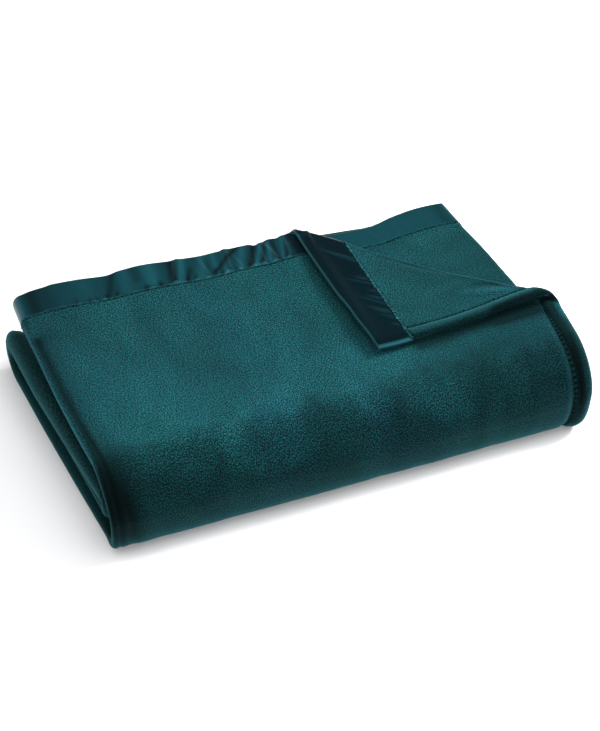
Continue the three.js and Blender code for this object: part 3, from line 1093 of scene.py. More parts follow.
@dataclass(frozen=True)
class Pucker:
    """A soft crease in the satin that starts at its sewn edge.

    lean is how far it moves across for each millimetre from the seam. It rises over the first
    few millimetres, and fades between two shares of its reach.
    """

    u: float
    lean: float
    reach: float
    width: float
    height: float
    rise_reach: float = 6.0
    fade: Place = (0.55, 1.4)
    window: float = 40.0

    def relief(self, u: float, from_seam: float) -> float:
        """Works out the height of the crease at a place of the satin.

        Args:
            u: The distance across from the right hem.
            from_seam: The distance from the sewn edge.

        Returns:
            The height.
        """
        share = from_seam / self.reach
        if share > self.fade[1] or abs(u - self.u) > self.window:
            return 0.0
        centre = self.u + self.lean * from_seam
        rise = smoothstep(from_seam, 0, self.rise_reach) * (1 - smoothstep(share, *self.fade))
        return self.height * rise * bump(u - centre, self.width)


@dataclass(frozen=True)
class Gleam:
    """A band of painted highlight across the gathered satin, from near to far from its sewn edge; a negative
    shade makes it painted shade.

    lean is how far it moves across for each millimetre from the seam. Its two ends are blurred,
    and it is worked out only in a window of some widths, and of its lean over the strip.
    """

    u: float
    lean: float
    width: float
    shade: float
    near: float = 0.0
    far: float = 45.0
    near_blur: float = 3.0
    far_blur: float = 6.0
    window_widths: float = 3.0
    window_reach: float = 50.0

    def share(self, u: float, from_seam: float) -> float:
        """Works out the band's shade at a place of the satin.

        Args:
            u: The distance across from the right hem.
            from_seam: The distance from the sewn edge.

        Returns:
            How much painted highlight there is, which is negative where there is painted shade.
        """
        if abs(u - self.u) > self.window_widths * self.width + self.window_reach * abs(self.lean):
            return 0.0
        begins = smoothstep(from_seam, self.near - self.near_blur, self.near + self.near_blur)
        ends = 1 - smoothstep(from_seam, self.far - self.far_blur, self.far + self.far_blur)
        return self.shade * begins * ends * bump(u - self.u - self.lean * from_seam, self.width)


@dataclass
class SatinBinding:
    """The satin strip folded over the head edge, with its puckers."""

    fold: BlanketFold
    clearance: float = 0.58
    thickness: float = 0.7
    lip: float = 3.3
    seam_inset: float = 0.5
    step: float = 2.0
    lip_step: float = 1.1
    hidden_step: float = 12.0
    roll_step: float = 1.2
    under_reach: float = 230.0
    overhang: float = 2.8
    end_fold: float = 3.0
    end_thickness: float = 0.35
    end_reach: float = 1.2
    lip_reaches: tuple[Place, ...] = (
        (20, 0), (60, 3), (110, 6), (180, 7), (225, 6), (262, 3), (276, 5), (286, 3), (292, 0.5),
        (302, 5), (320, 4.5), (332, 5), (345, 6.5), (380, 7), (400, 5.5), (440, 6), (462, 6), (476, 4),
        (500, 5), (540, 3.5), (555, 1.5), (568, 1.5), (583, 0),
    )
    lip_fade: float = 40.0
    lip_relief: float = 0.5
    sewn_drop: float = 0.75
    sewn_reach: float = 3.5
    seed: int = 11
    under_pucker_margins: Place = (10.0, 280.0)
    under_pucker_gaps: Place = (16.0, 34.0)
    under_pucker_reaches: Place = (10.0, 30.0)
    under_pucker_heights: Place = (0.15, 0.4)
    under_pucker_lean: float = 0.4
    under_pucker_width: float = 4.0
    top_puckers: tuple[Pucker, ...] = (
        Pucker(560, -0.1, 12, 2.4, 0.4),
        Pucker(541, 0.1, 10, 2.4, 0.35),
        Pucker(522, -0.2, 14, 2.5, 0.6),
        Pucker(504, -0.3, 18, 2.8, 0.7),
        Pucker(489, 0.1, 24, 3.0, 0.9),
        Pucker(474, -0.2, 14, 2.4, 0.6),
        Pucker(452, -0.1, 20, 3.5, 0.6),
        Pucker(432, -0.25, 28, 4.0, 0.9),
        Pucker(405, -0.35, 52, 5.0, 1.9),
        Pucker(393, -0.1, 16, 2.4, 0.9),
        Pucker(378, -0.2, 24, 3.2, 1.3),
        Pucker(363, 0.1, 32, 3.0, 1.5),
        Pucker(351, 0.0, 18, 2.2, 1.0),
        Pucker(339, -0.2, 52, 4.5, 2.2),
        Pucker(321, 0.15, 28, 3.0, 1.5),
        Pucker(306, -0.2, 42, 3.6, 1.9),
        Pucker(294, -0.1, 54, 4.5, 2.4),
        Pucker(276, 0.2, 44, 4.0, 2.0),
        Pucker(261, -0.1, 50, 4.0, 1.7),
    )
    flap_puckers: tuple[Pucker, ...] = (
        Pucker(152, 1.0, 22, 2.2, 0.8),
        Pucker(146, 1.2, 26, 1.8, 0.7),
        Pucker(112, 0.9, 14, 2.2, 1.1),
        Pucker(103, 0.9, 22, 1.8, 0.6),
        Pucker(88, 0.6, 10, 1.8, 0.6),
        Pucker(72, 0.8, 14, 2.2, 1.1),
        Pucker(62, 1.0, 22, 1.8, 0.8),
        Pucker(48, 0.8, 20, 2.4, 1.3),
        Pucker(38, 0.9, 14, 1.8, 0.8),
        Pucker(26, 0.7, 10, 1.8, 0.6),
    )
    # Bands of painted highlight and painted shade across the satin, with a lighter end facet
    top_gleams: tuple[Gleam, ...] = (
        Gleam(588, 0, 5, 0.42),
        Gleam(571, 0, 10, -0.42),
        Gleam(553, 0, 10, -0.2),
        Gleam(505, 0.1, 12, 0.14, near=6),
        Gleam(487, -0.4, 5, -0.35),
        Gleam(475, -0.2, 3, -0.2, far=14),
        Gleam(461, -0.1, 8, 0.2, near=4),
        Gleam(446, -0.05, 5, -0.18, near=16),
        Gleam(437, 0, 3, -0.3, far=8),
        Gleam(430, -0.1, 9, 0.36, near=6),
        Gleam(421, 0, 3, -0.25, far=12),
        Gleam(407, -0.2, 5, -0.5),
        Gleam(398, -0.35, 4, 0.38, near=3),
        Gleam(391, -0.45, 3.5, -0.4, far=24),
        Gleam(371, -0.25, 5, 0.34, near=4),
        Gleam(359, 0, 2.5, -0.2, near=14, far=34),
        Gleam(351, -0.1, 4, 0.3, near=16),
        Gleam(366, -1.25, 5, -0.5, near=8),
        Gleam(340, 0, 2.5, 0.35, far=14),
        Gleam(326, -0.45, 5, 0.3, near=3),
        Gleam(311, -0.4, 4.5, -0.5),
        Gleam(304, -0.4, 3.2, 0.42, near=2),
        Gleam(297, -0.42, 3, -0.38),
        Gleam(286, -0.24, 2.6, 0.36, near=2),
        Gleam(275, -0.12, 3, -0.42),
        Gleam(269, -0.28, 2.6, 0.34, near=2),
        Gleam(264, -0.2, 2.2, -0.35, far=24),
        Gleam(246, 0, 8, -0.5),
        Gleam(1280, 0, 140, 0.14),
        Gleam(1152, 0, 5, -0.2),
    )
    # Dark notches between the scallops of the sewn edge, as painted shade
    notches: tuple[float, ...] = (
        523, 507, 499, 487, 475, 439, 421, 404, 388, 379, 354, 346, 336, 328, 310, 296, 288, 273, 264, 256,
    )
    notch: Gleam = Gleam(0, 0, 2.0, -0.45, far=8)
    # Painted highlight on the turned corner's end and lip, with painted shade beside the end
    flap_gleams: tuple[Gleam, ...] = (
        Gleam(0, 0, 2.5, 0.2, far=36),
        Gleam(9, 0, 5, -0.2),
        Gleam(150, 0, 60, -0.08),
        Gleam(213, 0.1, 2.0, 0.5, near=30),
        Gleam(222, 0.3, 2.0, 0.4, near=24),
    )
    # The turned corner's pucker ridges are painted lighter by this much: a painted highlight
    ridge_gleam: float = 0.75

    def gleam(self, u: float, w: float, seam: float) -> float:
        """Works out the painted highlight and shade of the satin at a place.

        Args:
            u: The distance across from the right hem.
            w: The distance from the strip's middle line, negative on the back side.
            seam: The distance from the sewn edge.

        Returns:
            The shade, with a half as the plain one.
        """
        if w < 0:
            shade = sum(gleam.share(u, seam) for gleam in self.flap_gleams)
            ridges = sum(pucker.relief(u, seam) / pucker.height for pucker in self.flap_puckers)
            return PLAIN_SHADE + shade + self.ridge_gleam * ridges
        shade = sum(gleam.share(u, seam) for gleam in self.top_gleams)
        return PLAIN_SHADE + shade + sum(self.notch.share(u - place, seam) for place in self.notches)

    def puckers(self) -> dict[Side, list[Pucker]]:
        """Lists all the creases, with scattered ones on the inner ply.

        Returns:
            The creases of the face and of the back.
        """
        rng = random.Random(self.seed)
        fold = self.fold
        face = list(self.top_puckers)
        lean = self.under_pucker_lean
        u = fold.flat_width() - fold.inner_width + self.under_pucker_margins[0]
        while u < fold.flat_width() - self.under_pucker_margins[1]:
            leaning = rng.uniform(-lean, lean)
            reach = rng.uniform(*self.under_pucker_reaches)
            height = rng.uniform(*self.under_pucker_heights)
            face.append(Pucker(u, leaning, reach, self.under_pucker_width, height))
            u += rng.uniform(*self.under_pucker_gaps)
        return {Side.FACE: face, Side.BACK: list(self.flap_puckers)}

    def columns(self) -> list[float]:
        """Spaces the mesh columns across the flat strip, closer where it shows.

        Returns:
            Their places.
        """
        fold = self.fold
        left = fold.top_width + fold.left_fold_width
        inner = fold.flat_width() - fold.inner_width
        end = fold.flat_width() + self.overhang
        places = spaced(-self.overhang, left, self.step)
        places += spaced(left, inner - fold.right_fold_width, self.hidden_step)
        places += spaced(inner - fold.right_fold_width, inner + self.under_reach, self.step)
        return [*places, *spaced(inner + self.under_reach, end, self.hidden_step), end]

    def profile(self, w: float) -> tuple[float, float]:
        """Folds a place across the strip over the head edge.

        Args:
            w: The distance from the strip's middle line, positive on the face side.

        Returns:
            How far the place lies from the head edge, and its height.
        """
        height = self.fold.thickness_under_satin / 2 + self.clearance + self.thickness / 2
        if abs(w) < self.lip:
            angle = 0.5 * math.pi * w / self.lip
            reach = self.fold.edge_bulge + self.clearance + self.thickness / 2
            return -reach * math.cos(angle), height * math.sin(angle)
        return abs(w) - self.lip, math.copysign(height, w)

    def build(self, finish: bpy.types.Material, turned: bpy.types.Material) -> bpy.types.Object:
        """Makes the folded strip.

        Args:
            finish: The satin.
            turned: A darker, less glossy copy of the satin, as painted shade, for the strip's back side,
                which shows on the turned corner.

        Returns:
            The strip's object.
        """
        fold = self.fold
        end = self.lip + fold.binding_width - self.seam_inset
        places = [*spaced(-end, -self.lip, self.step), *spaced(-self.lip, self.lip, self.lip_step)]
        places += [*spaced(self.lip, end, self.step), end]
        bm = flat_slab(self.columns(), places, self.thickness / 2)
        keep_flat_places(bm)
        # The face side, and the back side's faces along the fold and at the end, take the lighter satin: on
        # the turned corner these edges are a painted highlight
        for face in bm.faces:
            centre = face.calc_center_median()
            lighter = centre.y > -self.end_fold or centre.x < self.end_fold
            face.material_index = 0 if lighter else 1
        puckers = self.puckers()
        # Each vertex keeps its painted highlight and shade in the gleam attribute
        lightness = bm.verts.layers.float.new(GLEAM_NAME)
        for vert in bm.verts:
            u, w, offset = vert.co
            side = Side.FACE if w > 0 else Side.BACK
            seam = end - abs(w)
            vert[lightness] = self.gleam(u, w, seam)
            relief = sum(pucker.relief(u, seam) for pucker in puckers[side])
            relief *= min(1.0, lerp(self.lip_relief, 1, abs(w) / self.lip))
            offset += relief - self.sewn_drop * (1 - smoothstep(seam, 0, self.sewn_reach))
            distance, height = self.profile(w)
            outwards = self.outwards(w)
            height *= self.closing(u, height)
            distance -= eased(self.lip_reaches, u) * (1 - smoothstep(abs(w), 0, self.lip_fade))
            vert.co = (u, distance + outwards[0] * offset, height + outwards[1] * offset)
        cut_along_crease(bm, fold, self.roll_step)
        fold_mesh(bm, fold, lambda flat: flat.z)
        piece = dress(bm, "satin_strip", finish)
        piece.data.materials.append(turned)
        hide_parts(SATIN_NODE)
        return piece

    def closing(self, u: float, height: float) -> float:
        """Works out how far the strip is pressed shut near its ends.

        Args:
            u: The distance across from the right hem.
            height: The height that it has elsewhere.

        Returns:
            The share of that height that it keeps.
        """
        from_end = min(u, self.fold.flat_width() - u)
        least = min(1.0, self.end_thickness / max(abs(height), self.end_thickness))
        return lerp(least, 1, smoothstep(from_end, -self.overhang, self.end_reach))

    def outwards(self, w: float) -> tuple[float, float]:
        """Finds the direction away from the cloth at a place across the strip.

        Args:
            w: The distance from the strip's middle line, positive on the face side.

        Returns:
            The direction's parts away from the head edge and upwards.
        """
        if abs(w) < self.lip:
            angle = 0.5 * math.pi * w / self.lip
            return -math.cos(angle), math.sin(angle)
        return 0.0, math.copysign(1.0, w)


@dataclass(frozen=True)
class Stitch:
    """One stitch on the flat cloth: its two ends, and its height above the cloth's middle."""

    start: Place
    end: Place
    height: float


@dataclass
class Stitches:
    """Rows of stitches or of pile tufts, each one a small stretched bead."""

    fold: BlanketFold
    name: str
    thread: float = 0.55
    segments: int = 6
    rings: int = 4
    # One value of the pile's painted light and shade for every bead, a little lighter than plain; only the
    # tufts' plush reads it
    brush: float = 0.55

    def build(self, stitches: Sequence[Stitch], finish: bpy.types.Material, slot: str) -> bpy.types.Object:
        """Makes the stitches as one piece.

        Args:
            stitches: The stitches on the flat cloth.
            finish: The thread.
            slot: The record's material slot; it is not used.

        Returns:
            The piece's object.
        """
        bm = bmesh.new()
        bmesh.ops.create_uvsphere(bm, u_segments=self.segments, v_segments=self.rings, radius=0.5)
        bead = [vert.co.copy() for vert in bm.verts]
        sizes = (len(bm.verts), len(bm.edges), len(bm.faces))
        # The beads made so far are copied until there are enough
        made = 1
        while made < len(stitches):
            extra = min(made, len(stitches) - made)
            verts, edges, faces = (extra * size for size in sizes)
            geom = [*bm.verts[:][:verts], *bm.edges[:][:edges], *bm.faces[:][:faces]]
            bmesh.ops.duplicate(bm, geom=geom)
            made += extra
        self.mark(bm, stitches, sizes)
        thread = self.thread * MM
        lowest = self.fold.floor_gap * MM
        places = iter(bm.verts)
        for stitch in stitches:
            start = self.fold.place(*stitch.start, stitch.height)
            end = self.fold.place(*stitch.end, stitch.height)
            run = end - start
            turn = run.to_track_quat("Z", "Y").to_matrix()
            size = Vector((thread, thread, run.length + thread))
            for corner in bead:
                place = (start + end) / 2 + turn @ (corner * size)
                place.z = max(place.z, lowest)
                next(places).co = place
        return dress(bm, self.name, finish)

    def mark(self, bm: bmesh.types.BMesh, stitches: Sequence[Stitch], sizes: tuple[int, int, int]) -> None:
        """Keeps each stitch's flat place as its UV map, and gives them all one value of the pile's painted
        light and shade.

        Args:
            bm: The mesh of beads, in the stitches' order.
            stitches: The stitches.
            sizes: How many vertices, edges and faces a bead has.
        """
        layer = bm.loops.layers.uv.new(UV_NAME)
        brushed_and_shaded = bm.verts.layers.float.new(NAP_AND_SHADE_NAME)
        for index, face in enumerate(bm.faces):
            u, v = stitches[index // sizes[2]].end
            for loop in face.loops:
                loop[layer].uv = (u * MM, v * MM)
        for vert in bm.verts:
            vert[brushed_and_shaded] = self.brush


@dataclass
class SewnRows:
    """Lists the stitches of the binding's seam and of the hem."""

    fold: BlanketFold
    seam_pitch: float = 3.0
    seam_reach: float = 1.1
    seam_inset: float = 1.4
    seam_height: float = 0.75
    tuft_pitch: float = 1.7
    tuft_pitch_shares: Place = (0.8, 1.2)
    tuft_length: float = 2.6
    tuft_length_shares: Place = (0.6, 1.2)
    tuft_inset: float = 1.2
    tuft_scatter: float = 0.4
    tuft_lean: float = 0.6
    tuft_heights: Place = (0.6, 0.9)
    tuft_margin: float = 1.0
    hem_pitch: float = 2.7
    hem_reach: float = 2.3
    hem_slant: float = 0.5
    hem_height: float = 0.1
    hem_from_seam: float = 4.0
    hem_face_from: float = 236.0
    hem_back_to: float = 250.0
    seed: int = 5

    def seam(self) -> list[Stitch]:
        """Lays out the zigzag stitches along the binding's sewn edges.

        Returns:
            The stitches on both sides of the cloth.
        """
        fold = self.fold
        height = fold.thickness_under_satin / 2 + self.seam_height
        middle = fold.binding_width - self.seam_inset
        near, far = middle - self.seam_reach, middle + self.seam_reach
        half = self.seam_pitch / 2
        stitches = []
        for index in range(int(fold.flat_width() / self.seam_pitch)):
            u = index * self.seam_pitch
            for side in Side:
                level = side.value * height
                stitches.append(Stitch((u, near), (u + half, far), level))
                stitches.append(Stitch((u + half, far), (u + 2 * half, near), level))
        return stitches

    def tufts(self) -> list[Stitch]:
        """Scatters the tufts of pile that lap over the binding's sewn edges.

        Returns:
            The tufts on both sides of the cloth.
        """
        rng = random.Random(self.seed)
        fold = self.fold
        middle = fold.binding_width - self.tuft_inset
        tufts = []
        u = self.tuft_margin
        while u < fold.flat_width() - self.tuft_margin:
            for side in Side:
                length = self.tuft_length * rng.uniform(*self.tuft_length_shares)
                near = middle + rng.uniform(-self.tuft_scatter, self.tuft_scatter)
                lean = rng.uniform(-self.tuft_lean, self.tuft_lean)
                height = side.value * (fold.thickness / 2 + rng.uniform(*self.tuft_heights))
                tufts.append(Stitch((u + lean, near), (u, near + length), height))
            u += self.tuft_pitch * rng.uniform(*self.tuft_pitch_shares)
        return tufts

    def hem(self) -> list[Stitch]:
        """Lays out the ladder stitches along the right hem's shown stretches.

        Returns:
            The stitches, on the side of the cloth that shows.
        """
        fold = self.fold
        middle = fold.hem_width + fold.hem_seam_inset
        near, far = middle - self.hem_reach, middle + self.hem_reach
        stitches = []
        v = fold.binding_width + self.hem_from_seam
        while v < fold.piece_starts[2]:
            shown = {Side.FACE: v > self.hem_face_from, Side.BACK: v < self.hem_back_to}
            for side in Side:
                if shown[side]:
                    height = side.value * (fold.thickness / 2 + self.hem_height)
                    stitches.append(Stitch((near, v), (far, v + self.hem_slant), height))
            v += self.hem_pitch
        return stitches


class Nodes:
    """Adds and joins the nodes of one material, or of the surroundings."""

    def __init__(self, owner: bpy.types.Material | bpy.types.World) -> None:
        """Starts with no nodes.

        Args:
            owner: What the nodes belong to.
        """
        owner.use_nodes = True
        self.tree = owner.node_tree
        self.tree.nodes.clear()

    def add(self, kind: str, inputs: dict[str, object] | None = None, **settings: object) -> bpy.types.Node:
        """Adds a node.

        Args:
            kind: The node's type.
            inputs: Values or outputs of other nodes for its input sockets.
            settings: Its properties.

        Returns:
            The new node.
        """
        node = self.tree.nodes.new(kind)
        for name, value in settings.items():
            setattr(node, name, value)
        for name, value in (inputs or {}).items():
            if isinstance(value, bpy.types.NodeSocket):
                self.tree.links.new(value, node.inputs[name])
            else:
                node.inputs[name].default_value = value
        return node

    def ramp(
        self, factor: bpy.types.NodeSocket, stops: Sequence[tuple[float, Colour]]
    ) -> bpy.types.NodeSocket:
        """Adds a colour ramp.

        Args:
            factor: The value that it reads.
            stops: Its places and their colours.

        Returns:
            The colour.
        """
        node = self.add("ShaderNodeValToRGB", {"Fac": factor})
        elements = node.color_ramp.elements
        while len(elements) < len(stops):
            elements.new(0.5)
        for element, (position, colour) in zip(elements, stops):
            element.position = position
            element.color = (*colour, 1)
        return node.outputs["Color"]

    def greys(self, factor: bpy.types.NodeSocket, stops: Sequence[Place]) -> bpy.types.NodeSocket:
        """Adds a ramp of greys and returns its colour."""
        return self.ramp(factor, [(position, (shade,) * 3) for position, shade in stops])

    def noise(self, place: bpy.types.NodeSocket, scale: float, **inputs: float) -> bpy.types.NodeSocket:
        """Adds a noise and returns its value."""
        return self.add("ShaderNodeTexNoise", {"Vector": place, "Scale": scale, **inputs}).outputs["Fac"]

    def stretched(self, place: bpy.types.NodeSocket, along: float) -> bpy.types.NodeSocket:
        """Adds a mapping that stretches a pattern along the cloth and returns its place."""
        return self.add("ShaderNodeMapping", {"Vector": place, "Scale": (1.0, along, 1.0)}).outputs["Vector"]

    def times(self, first: bpy.types.NodeSocket, second: bpy.types.NodeSocket) -> bpy.types.NodeSocket:
        """Adds the product of two colours and returns it."""
        return self.add("ShaderNodeVectorMath", {0: first, 1: second}, operation="MULTIPLY").outputs[0]

    def attribute(self, name: str) -> bpy.types.NodeSocket:
        """Adds an attribute of the mesh and returns its value."""
        return self.add("ShaderNodeAttribute", attribute_name=name).outputs["Fac"]


def surface_finish(name: str, build: Callable[[Nodes], bpy.types.Node]) -> bpy.types.Material:
    """Makes a material.

    Args:
        name: Its name.
        build: Adds its nodes and returns its shader.

    Returns:
        The material.
    """
    material = bpy.data.materials.new(name)
    nodes = Nodes(material)
    nodes.add("ShaderNodeOutputMaterial", {"Surface": build(nodes).outputs[0]})
    return material


@dataclass(frozen=True)
class PlushFinish:
    """Short velvety pile: a speckled grain, patches of lighter and darker pile and a sheen at its edges.

    The painted light and shade runs in bands along the blanket's length, lighter on the top and darker down
    the front turn, at places in metres from the head edge.
    """

    name: str = "plush_pile"
    green: Colour = (0.0044, 0.0385, 0.0425)
    blue: Colour = (0.0048, 0.0380, 0.0475)
    sheen: Colour = (0.16, 0.68, 0.76)
    sheen_weight: float = 0.3
    sheen_roughness: float = 0.42
    grain_scale: float = 690.0
    grain_stops: tuple[Place, ...] = ((0.39, 0.1), (0.5, 0.76), (0.61, 2.8))
    nap_places: tuple[Place, ...] = (
        (0.0, 0.77), (0.17, 0.84), (0.27, 1.08), (0.3, 0.51), (0.335, 0.25), (0.37, 0.33), (0.43, 0.3),
    )
    nap_length: float = 0.5
    nap_scale: float = 17.0
    nap_wander: float = 0.11
    brush_stops: tuple[Place, ...] = ((0.0, 0.07), (0.5, 1.0), (1.0, 1.9))
    patch_scale: float = 17.0
    patch_stretch: float = 0.45
    patch_stops: tuple[Place, ...] = ((0.3, 0.75), (0.5, 1.0), (0.7, 1.28))
    hue_scale: float = 9.0
    hue_places: Place = (0.38, 0.62)
    relief: float = 0.002
    relief_strength: float = 0.45

    def material(self) -> bpy.types.Material:
        """Returns the plush material."""
        return surface_finish(self.name, self.shader)

    def shader(self, nodes: Nodes) -> bpy.types.Node:
        """Adds the plush's nodes.

        Args:
            nodes: The material's nodes.

        Returns:
            The shader.
        """
        place = nodes.add("ShaderNodeTexCoord").outputs["UV"]
        brushed_and_shaded = nodes.stretched(place, self.patch_stretch)
        grain = nodes.noise(place, self.grain_scale, Detail=2.0, Roughness=0.6)
        patches = nodes.noise(brushed_and_shaded, self.patch_scale, Detail=5.0, Roughness=0.62, Distortion=0.7)
        cast = nodes.noise(brushed_and_shaded, self.hue_scale, Detail=2.0)
        hue = nodes.ramp(cast, list(zip(self.hue_places, (self.green, self.blue))))
        speckled = nodes.times(hue, nodes.greys(grain, self.grain_stops))
        # The marks' pile tone with painted light and shade, and the painted bands along the length, scale
        # the colour
        marks = nodes.greys(nodes.attribute(NAP_AND_SHADE_NAME), self.brush_stops)
        nap = nodes.times(self.nap(nodes, place), marks)
        shade = nodes.times(nodes.greys(patches, self.patch_stops), nap)
        bumps = {"Height": grain, "Strength": self.relief_strength, "Distance": self.relief}
        return nodes.add(
            "ShaderNodeBsdfPrincipled",
            {
                "Base Color": nodes.times(speckled, shade),
                "Roughness": 0.95,
                "Specular IOR Level": 0.05,
                "Sheen Weight": self.sheen_weight,
                "Sheen Roughness": self.sheen_roughness,
                "Sheen Tint": (*self.sheen, 1),
                "Normal": nodes.add("ShaderNodeBump", bumps).outputs["Normal"],
            },
        )

    def nap(self, nodes: Nodes, place: bpy.types.NodeSocket) -> bpy.types.NodeSocket:
        """Adds bands of painted light and shade along the blanket's length, with uneven edges.

        Args:
            nodes: The material's nodes.
            place: The place on the flat cloth, in metres.

        Returns:
            The painted light and shade.
        """
        edge = nodes.noise(place, self.nap_scale, Detail=5.0, Roughness=0.6)
        along = nodes.add("ShaderNodeSeparateXYZ", {"Vector": place}).outputs["Y"]
        shift = nodes.add("ShaderNodeMath", {0: edge, 1: -0.5}, operation="ADD").outputs[0]
        wander = {0: shift, 1: self.nap_wander, 2: along}
        uneven = nodes.add("ShaderNodeMath", wander, operation="MULTIPLY_ADD").outputs[0]
        share = nodes.add("ShaderNodeMath", {0: uneven, 1: self.nap_length}, operation="DIVIDE").outputs[0]
        return nodes.greys(share, [(at / self.nap_length, shade) for at, shade in self.nap_places])


@dataclass(frozen=True)
class SatinFinish:
    """Smooth satin with a soft gloss. Its darker, less glossy copy on the turned corner is painted shade."""

    name: str = "satin_weave"
    colour: Colour = (0.0021, 0.0222, 0.0282)
    gloss: float = 0.6
    tint: Colour = (0.20, 0.80, 1.0)
    roughness: float = 0.34
    gleam_stops: tuple[Place, ...] = ((0.0, 0.1), (0.5, 1.0), (1.0, 2.4))
    thread_scale: float = 900.0
    thread_stretch: float = 0.06
    thread_stops: tuple[Place, ...] = ((0.35, 0.9), (0.65, 1.1))
    relief: float = 0.0004
    relief_strength: float = 0.1

    def material(self) -> bpy.types.Material:
        """Returns the satin material."""
        return surface_finish(self.name, self.shader)

    def shader(self, nodes: Nodes) -> bpy.types.Node:
        """Adds the satin's nodes.

        Args:
            nodes: The material's nodes.

        Returns:
            The shader.
        """
        place = nodes.add("ShaderNodeTexCoord").outputs["UV"]
        weave = nodes.noise(nodes.stretched(place, self.thread_stretch), self.thread_scale, Detail=2.0)
        # The gleam attribute's painted highlight and shade scale the colour
        stops = [(level, tuple(share * c for c in self.colour)) for level, share in self.gleam_stops]
        colour = nodes.ramp(nodes.attribute(GLEAM_NAME), stops)
        bumps = {"Height": weave, "Strength": self.relief_strength, "Distance": self.relief}
        return nodes.add(
            "ShaderNodeBsdfPrincipled",
            {
                "Base Color": nodes.times(colour, nodes.greys(weave, self.thread_stops)),
                "Roughness": self.roughness,
                "Specular IOR Level": self.gloss,
                "Specular Tint": (*self.tint, 1),
                "Normal": nodes.add("ShaderNodeBump", bumps).outputs["Normal"],
            },
        )


@dataclass(frozen=True)
class ThreadFinish:
    """Dull sewing thread in the blanket's own colour."""

    name: str = "sewing_thread"
    colour: Colour = (0.0035, 0.029, 0.034)
    shadow: float = 0.6
    fibre_scale: float = 2500.0
    fibre_places: Place = (0.3, 0.75)

    def material(self) -> bpy.types.Material:
        """Returns the thread material."""
        return surface_finish(self.name, self.shader)

    def shader(self, nodes: Nodes) -> bpy.types.Node:
        """Adds the thread's nodes.

        Args:
            nodes: The material's nodes.

        Returns:
            The shader.
        """
        place = nodes.add("ShaderNodeTexCoord").outputs["Object"]
        fibre = nodes.noise(place, self.fibre_scale)
        shaded = tuple(self.shadow * c for c in self.colour)
        colour = nodes.ramp(fibre, list(zip(self.fibre_places, (shaded, self.colour))))
        settings = {"Base Color": colour, "Roughness": 0.85, "Specular IOR Level": 0.1}
        return nodes.add("ShaderNodeBsdfPrincipled", settings)


@dataclass(frozen=True)
class FloorFinish:
    """A plain pale studio floor."""

    name: str = "studio_floor"
    colour: Colour = (0.9, 0.9, 0.91)

    def material(self) -> bpy.types.Material:
        """Returns the floor material."""
        return surface_finish(self.name, self.shader)

    def shader(self, nodes: Nodes) -> bpy.types.Node:
        """Adds the floor's shader and returns it."""
        return nodes.add("ShaderNodeBsdfPrincipled", {"Base Color": (*self.colour, 1), "Roughness": 0.9})


@dataclass(frozen=True)
class SoftLight:
    """A rectangular soft light that looks at the blanket."""

    name: str
    azimuth: float
    elevation: float
    distance: float
    width: float
    height: float
    power: float
    mirrored: bool = True


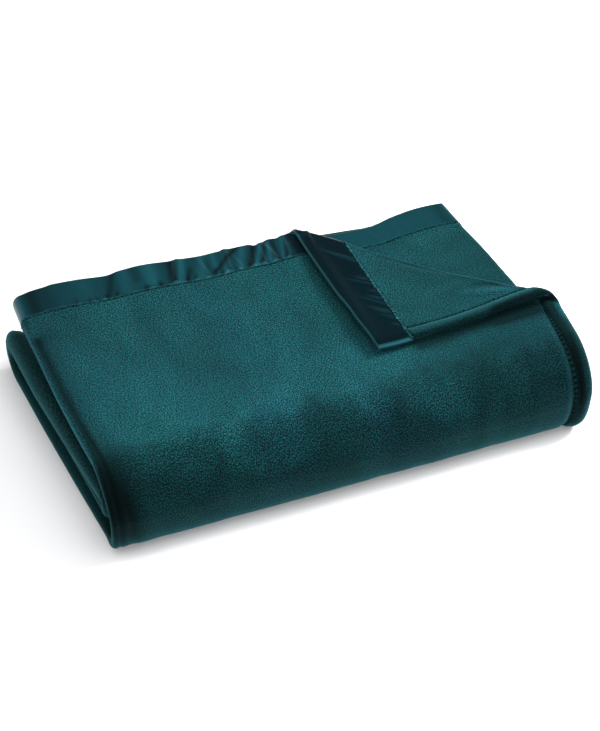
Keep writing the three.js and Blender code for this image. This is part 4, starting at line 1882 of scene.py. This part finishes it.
@dataclass
class Studio:
    """The floor, the lights, the surroundings and the camera. Angles are in degrees."""

    azimuth: float = -20.82
    elevation: float = 42.42
    distance: float = 2.2
    lens: float = 92.53
    sensor: float = 36.0
    aim: tuple[float, float, float] = (0.0048, -0.0012, 0.045)
    floor_size: float = 8.0
    sky: float = 0.95
    dark_side: tuple[float, float, float] = (0.27, 0.69, 0.67)
    dark_shares: tuple[Place, ...] = ((0.7, 1.0), (0.88, 0.3), (0.97, 0.08))
    lights: tuple[SoftLight, ...] = (
        SoftLight("overhead_light", 60.0, 80.0, 2.3, 2.0, 2.0, 25.0),
        SoftLight("key_light", 94.0, 38.0, 2.2, 0.8, 0.8, 72.0, mirrored=False),
        SoftLight("front_light", 0.0, 20.0, 2.2, 1.6, 0.8, 13.0, mirrored=False),
    )

    def direction(self, azimuth: float, elevation: float) -> Vector:
        """Returns the direction from the blanket towards an azimuth and elevation."""
        a, e = math.radians(azimuth), math.radians(elevation)
        return Vector((math.sin(a) * math.cos(e), -math.cos(a) * math.cos(e), math.sin(e)))

    def add_floor(self) -> None:
        """Makes the floor."""
        bm = bmesh.new()
        bmesh.ops.create_grid(bm, x_segments=1, y_segments=1, size=self.floor_size / 2)
        mesh = bpy.data.meshes.new("floor")
        bm.to_mesh(mesh)
        bm.free()
        mesh.materials.append(FloorFinish().material())
        floor = bpy.data.objects.new("floor", mesh)
        bpy.context.scene.collection.objects.link(floor)

    def add_lights(self) -> None:
        """Makes the soft lights."""
        for light in self.lights:
            data = bpy.data.lights.new(light.name, "AREA")
            data.shape = "RECTANGLE"
            data.size = light.width
            data.size_y = light.height
            data.energy = light.power
            lamp = bpy.data.objects.new(light.name, data)
            towards = self.direction(light.azimuth, light.elevation)
            lamp.location = Vector(self.aim) + towards * light.distance
            lamp.rotation_euler = towards.to_track_quat("Z", "Y").to_euler()
            lamp.visible_glossy = light.mirrored
            bpy.context.scene.collection.objects.link(lamp)

    def add_surroundings(self) -> None:
        """Makes the pale room, with a dark wall that the satin mirrors."""
        world = bpy.data.worlds.new("surroundings")
        nodes = Nodes(world)
        place = nodes.add("ShaderNodeTexCoord").outputs["Generated"]
        sideways = {0: place, 1: self.dark_side}
        share = nodes.add("ShaderNodeVectorMath", sideways, operation="DOT_PRODUCT").outputs["Value"]
        shade = nodes.greys(share, self.dark_shares)
        background = nodes.add("ShaderNodeBackground", {"Color": shade, "Strength": self.sky})
        nodes.add("ShaderNodeOutputWorld", {"Surface": background.outputs[0]})
        bpy.context.scene.world = world

    def add_camera(self) -> None:
        """Makes the camera at the photograph's angle."""
        data = bpy.data.cameras.new("camera")
        data.lens = self.lens
        data.sensor_width = self.sensor
        camera = bpy.data.objects.new("camera", data)
        back = self.direction(self.azimuth, self.elevation)
        camera.location = Vector(self.aim) + back * self.distance
        camera.rotation_mode = "QUATERNION"
        camera.rotation_quaternion = (-back).to_track_quat("-Z", "Y")
        bpy.context.scene.collection.objects.link(camera)
        bpy.context.scene.camera = camera

    def build(self) -> None:
        """Makes the whole studio."""
        self.add_camera()
        self.add_floor()
        self.add_lights()
        self.add_surroundings()
        bpy.context.scene.view_settings.view_transform = "Standard"


def main() -> None:
    """Builds the blanket and its studio."""
    logging.basicConfig(level=logging.INFO, format="%(message)s")
    LOG.info("frame: %d solids", len(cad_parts))
    Studio().build()
    fold = BlanketFold()
    plush = PlushFinish().material()
    satin = SatinFinish().material()
    # A darker, less glossy copy of the satin for the turned corner: painted shade
    turned = SatinFinish(name="satin_turned", colour=(0.0008, 0.0055, 0.0080), gloss=0.25).material()
    thread = ThreadFinish().material()
    cloth = PlushCloth(fold).build(plush)
    strip = SatinBinding(fold).build(satin, turned)
    rows = SewnRows(fold)
    seam = Stitches(fold, "seam_stitches").build(rows.seam(), thread, "satin")
    hem = Stitches(fold, "hem_stitches", thread=0.6).build(rows.hem(), thread, "plush")
    tufts = Stitches(fold, "seam_tufts", thread=1.9).build(rows.tufts(), plush, "plush")


if __name__ == "__main__":
    main()
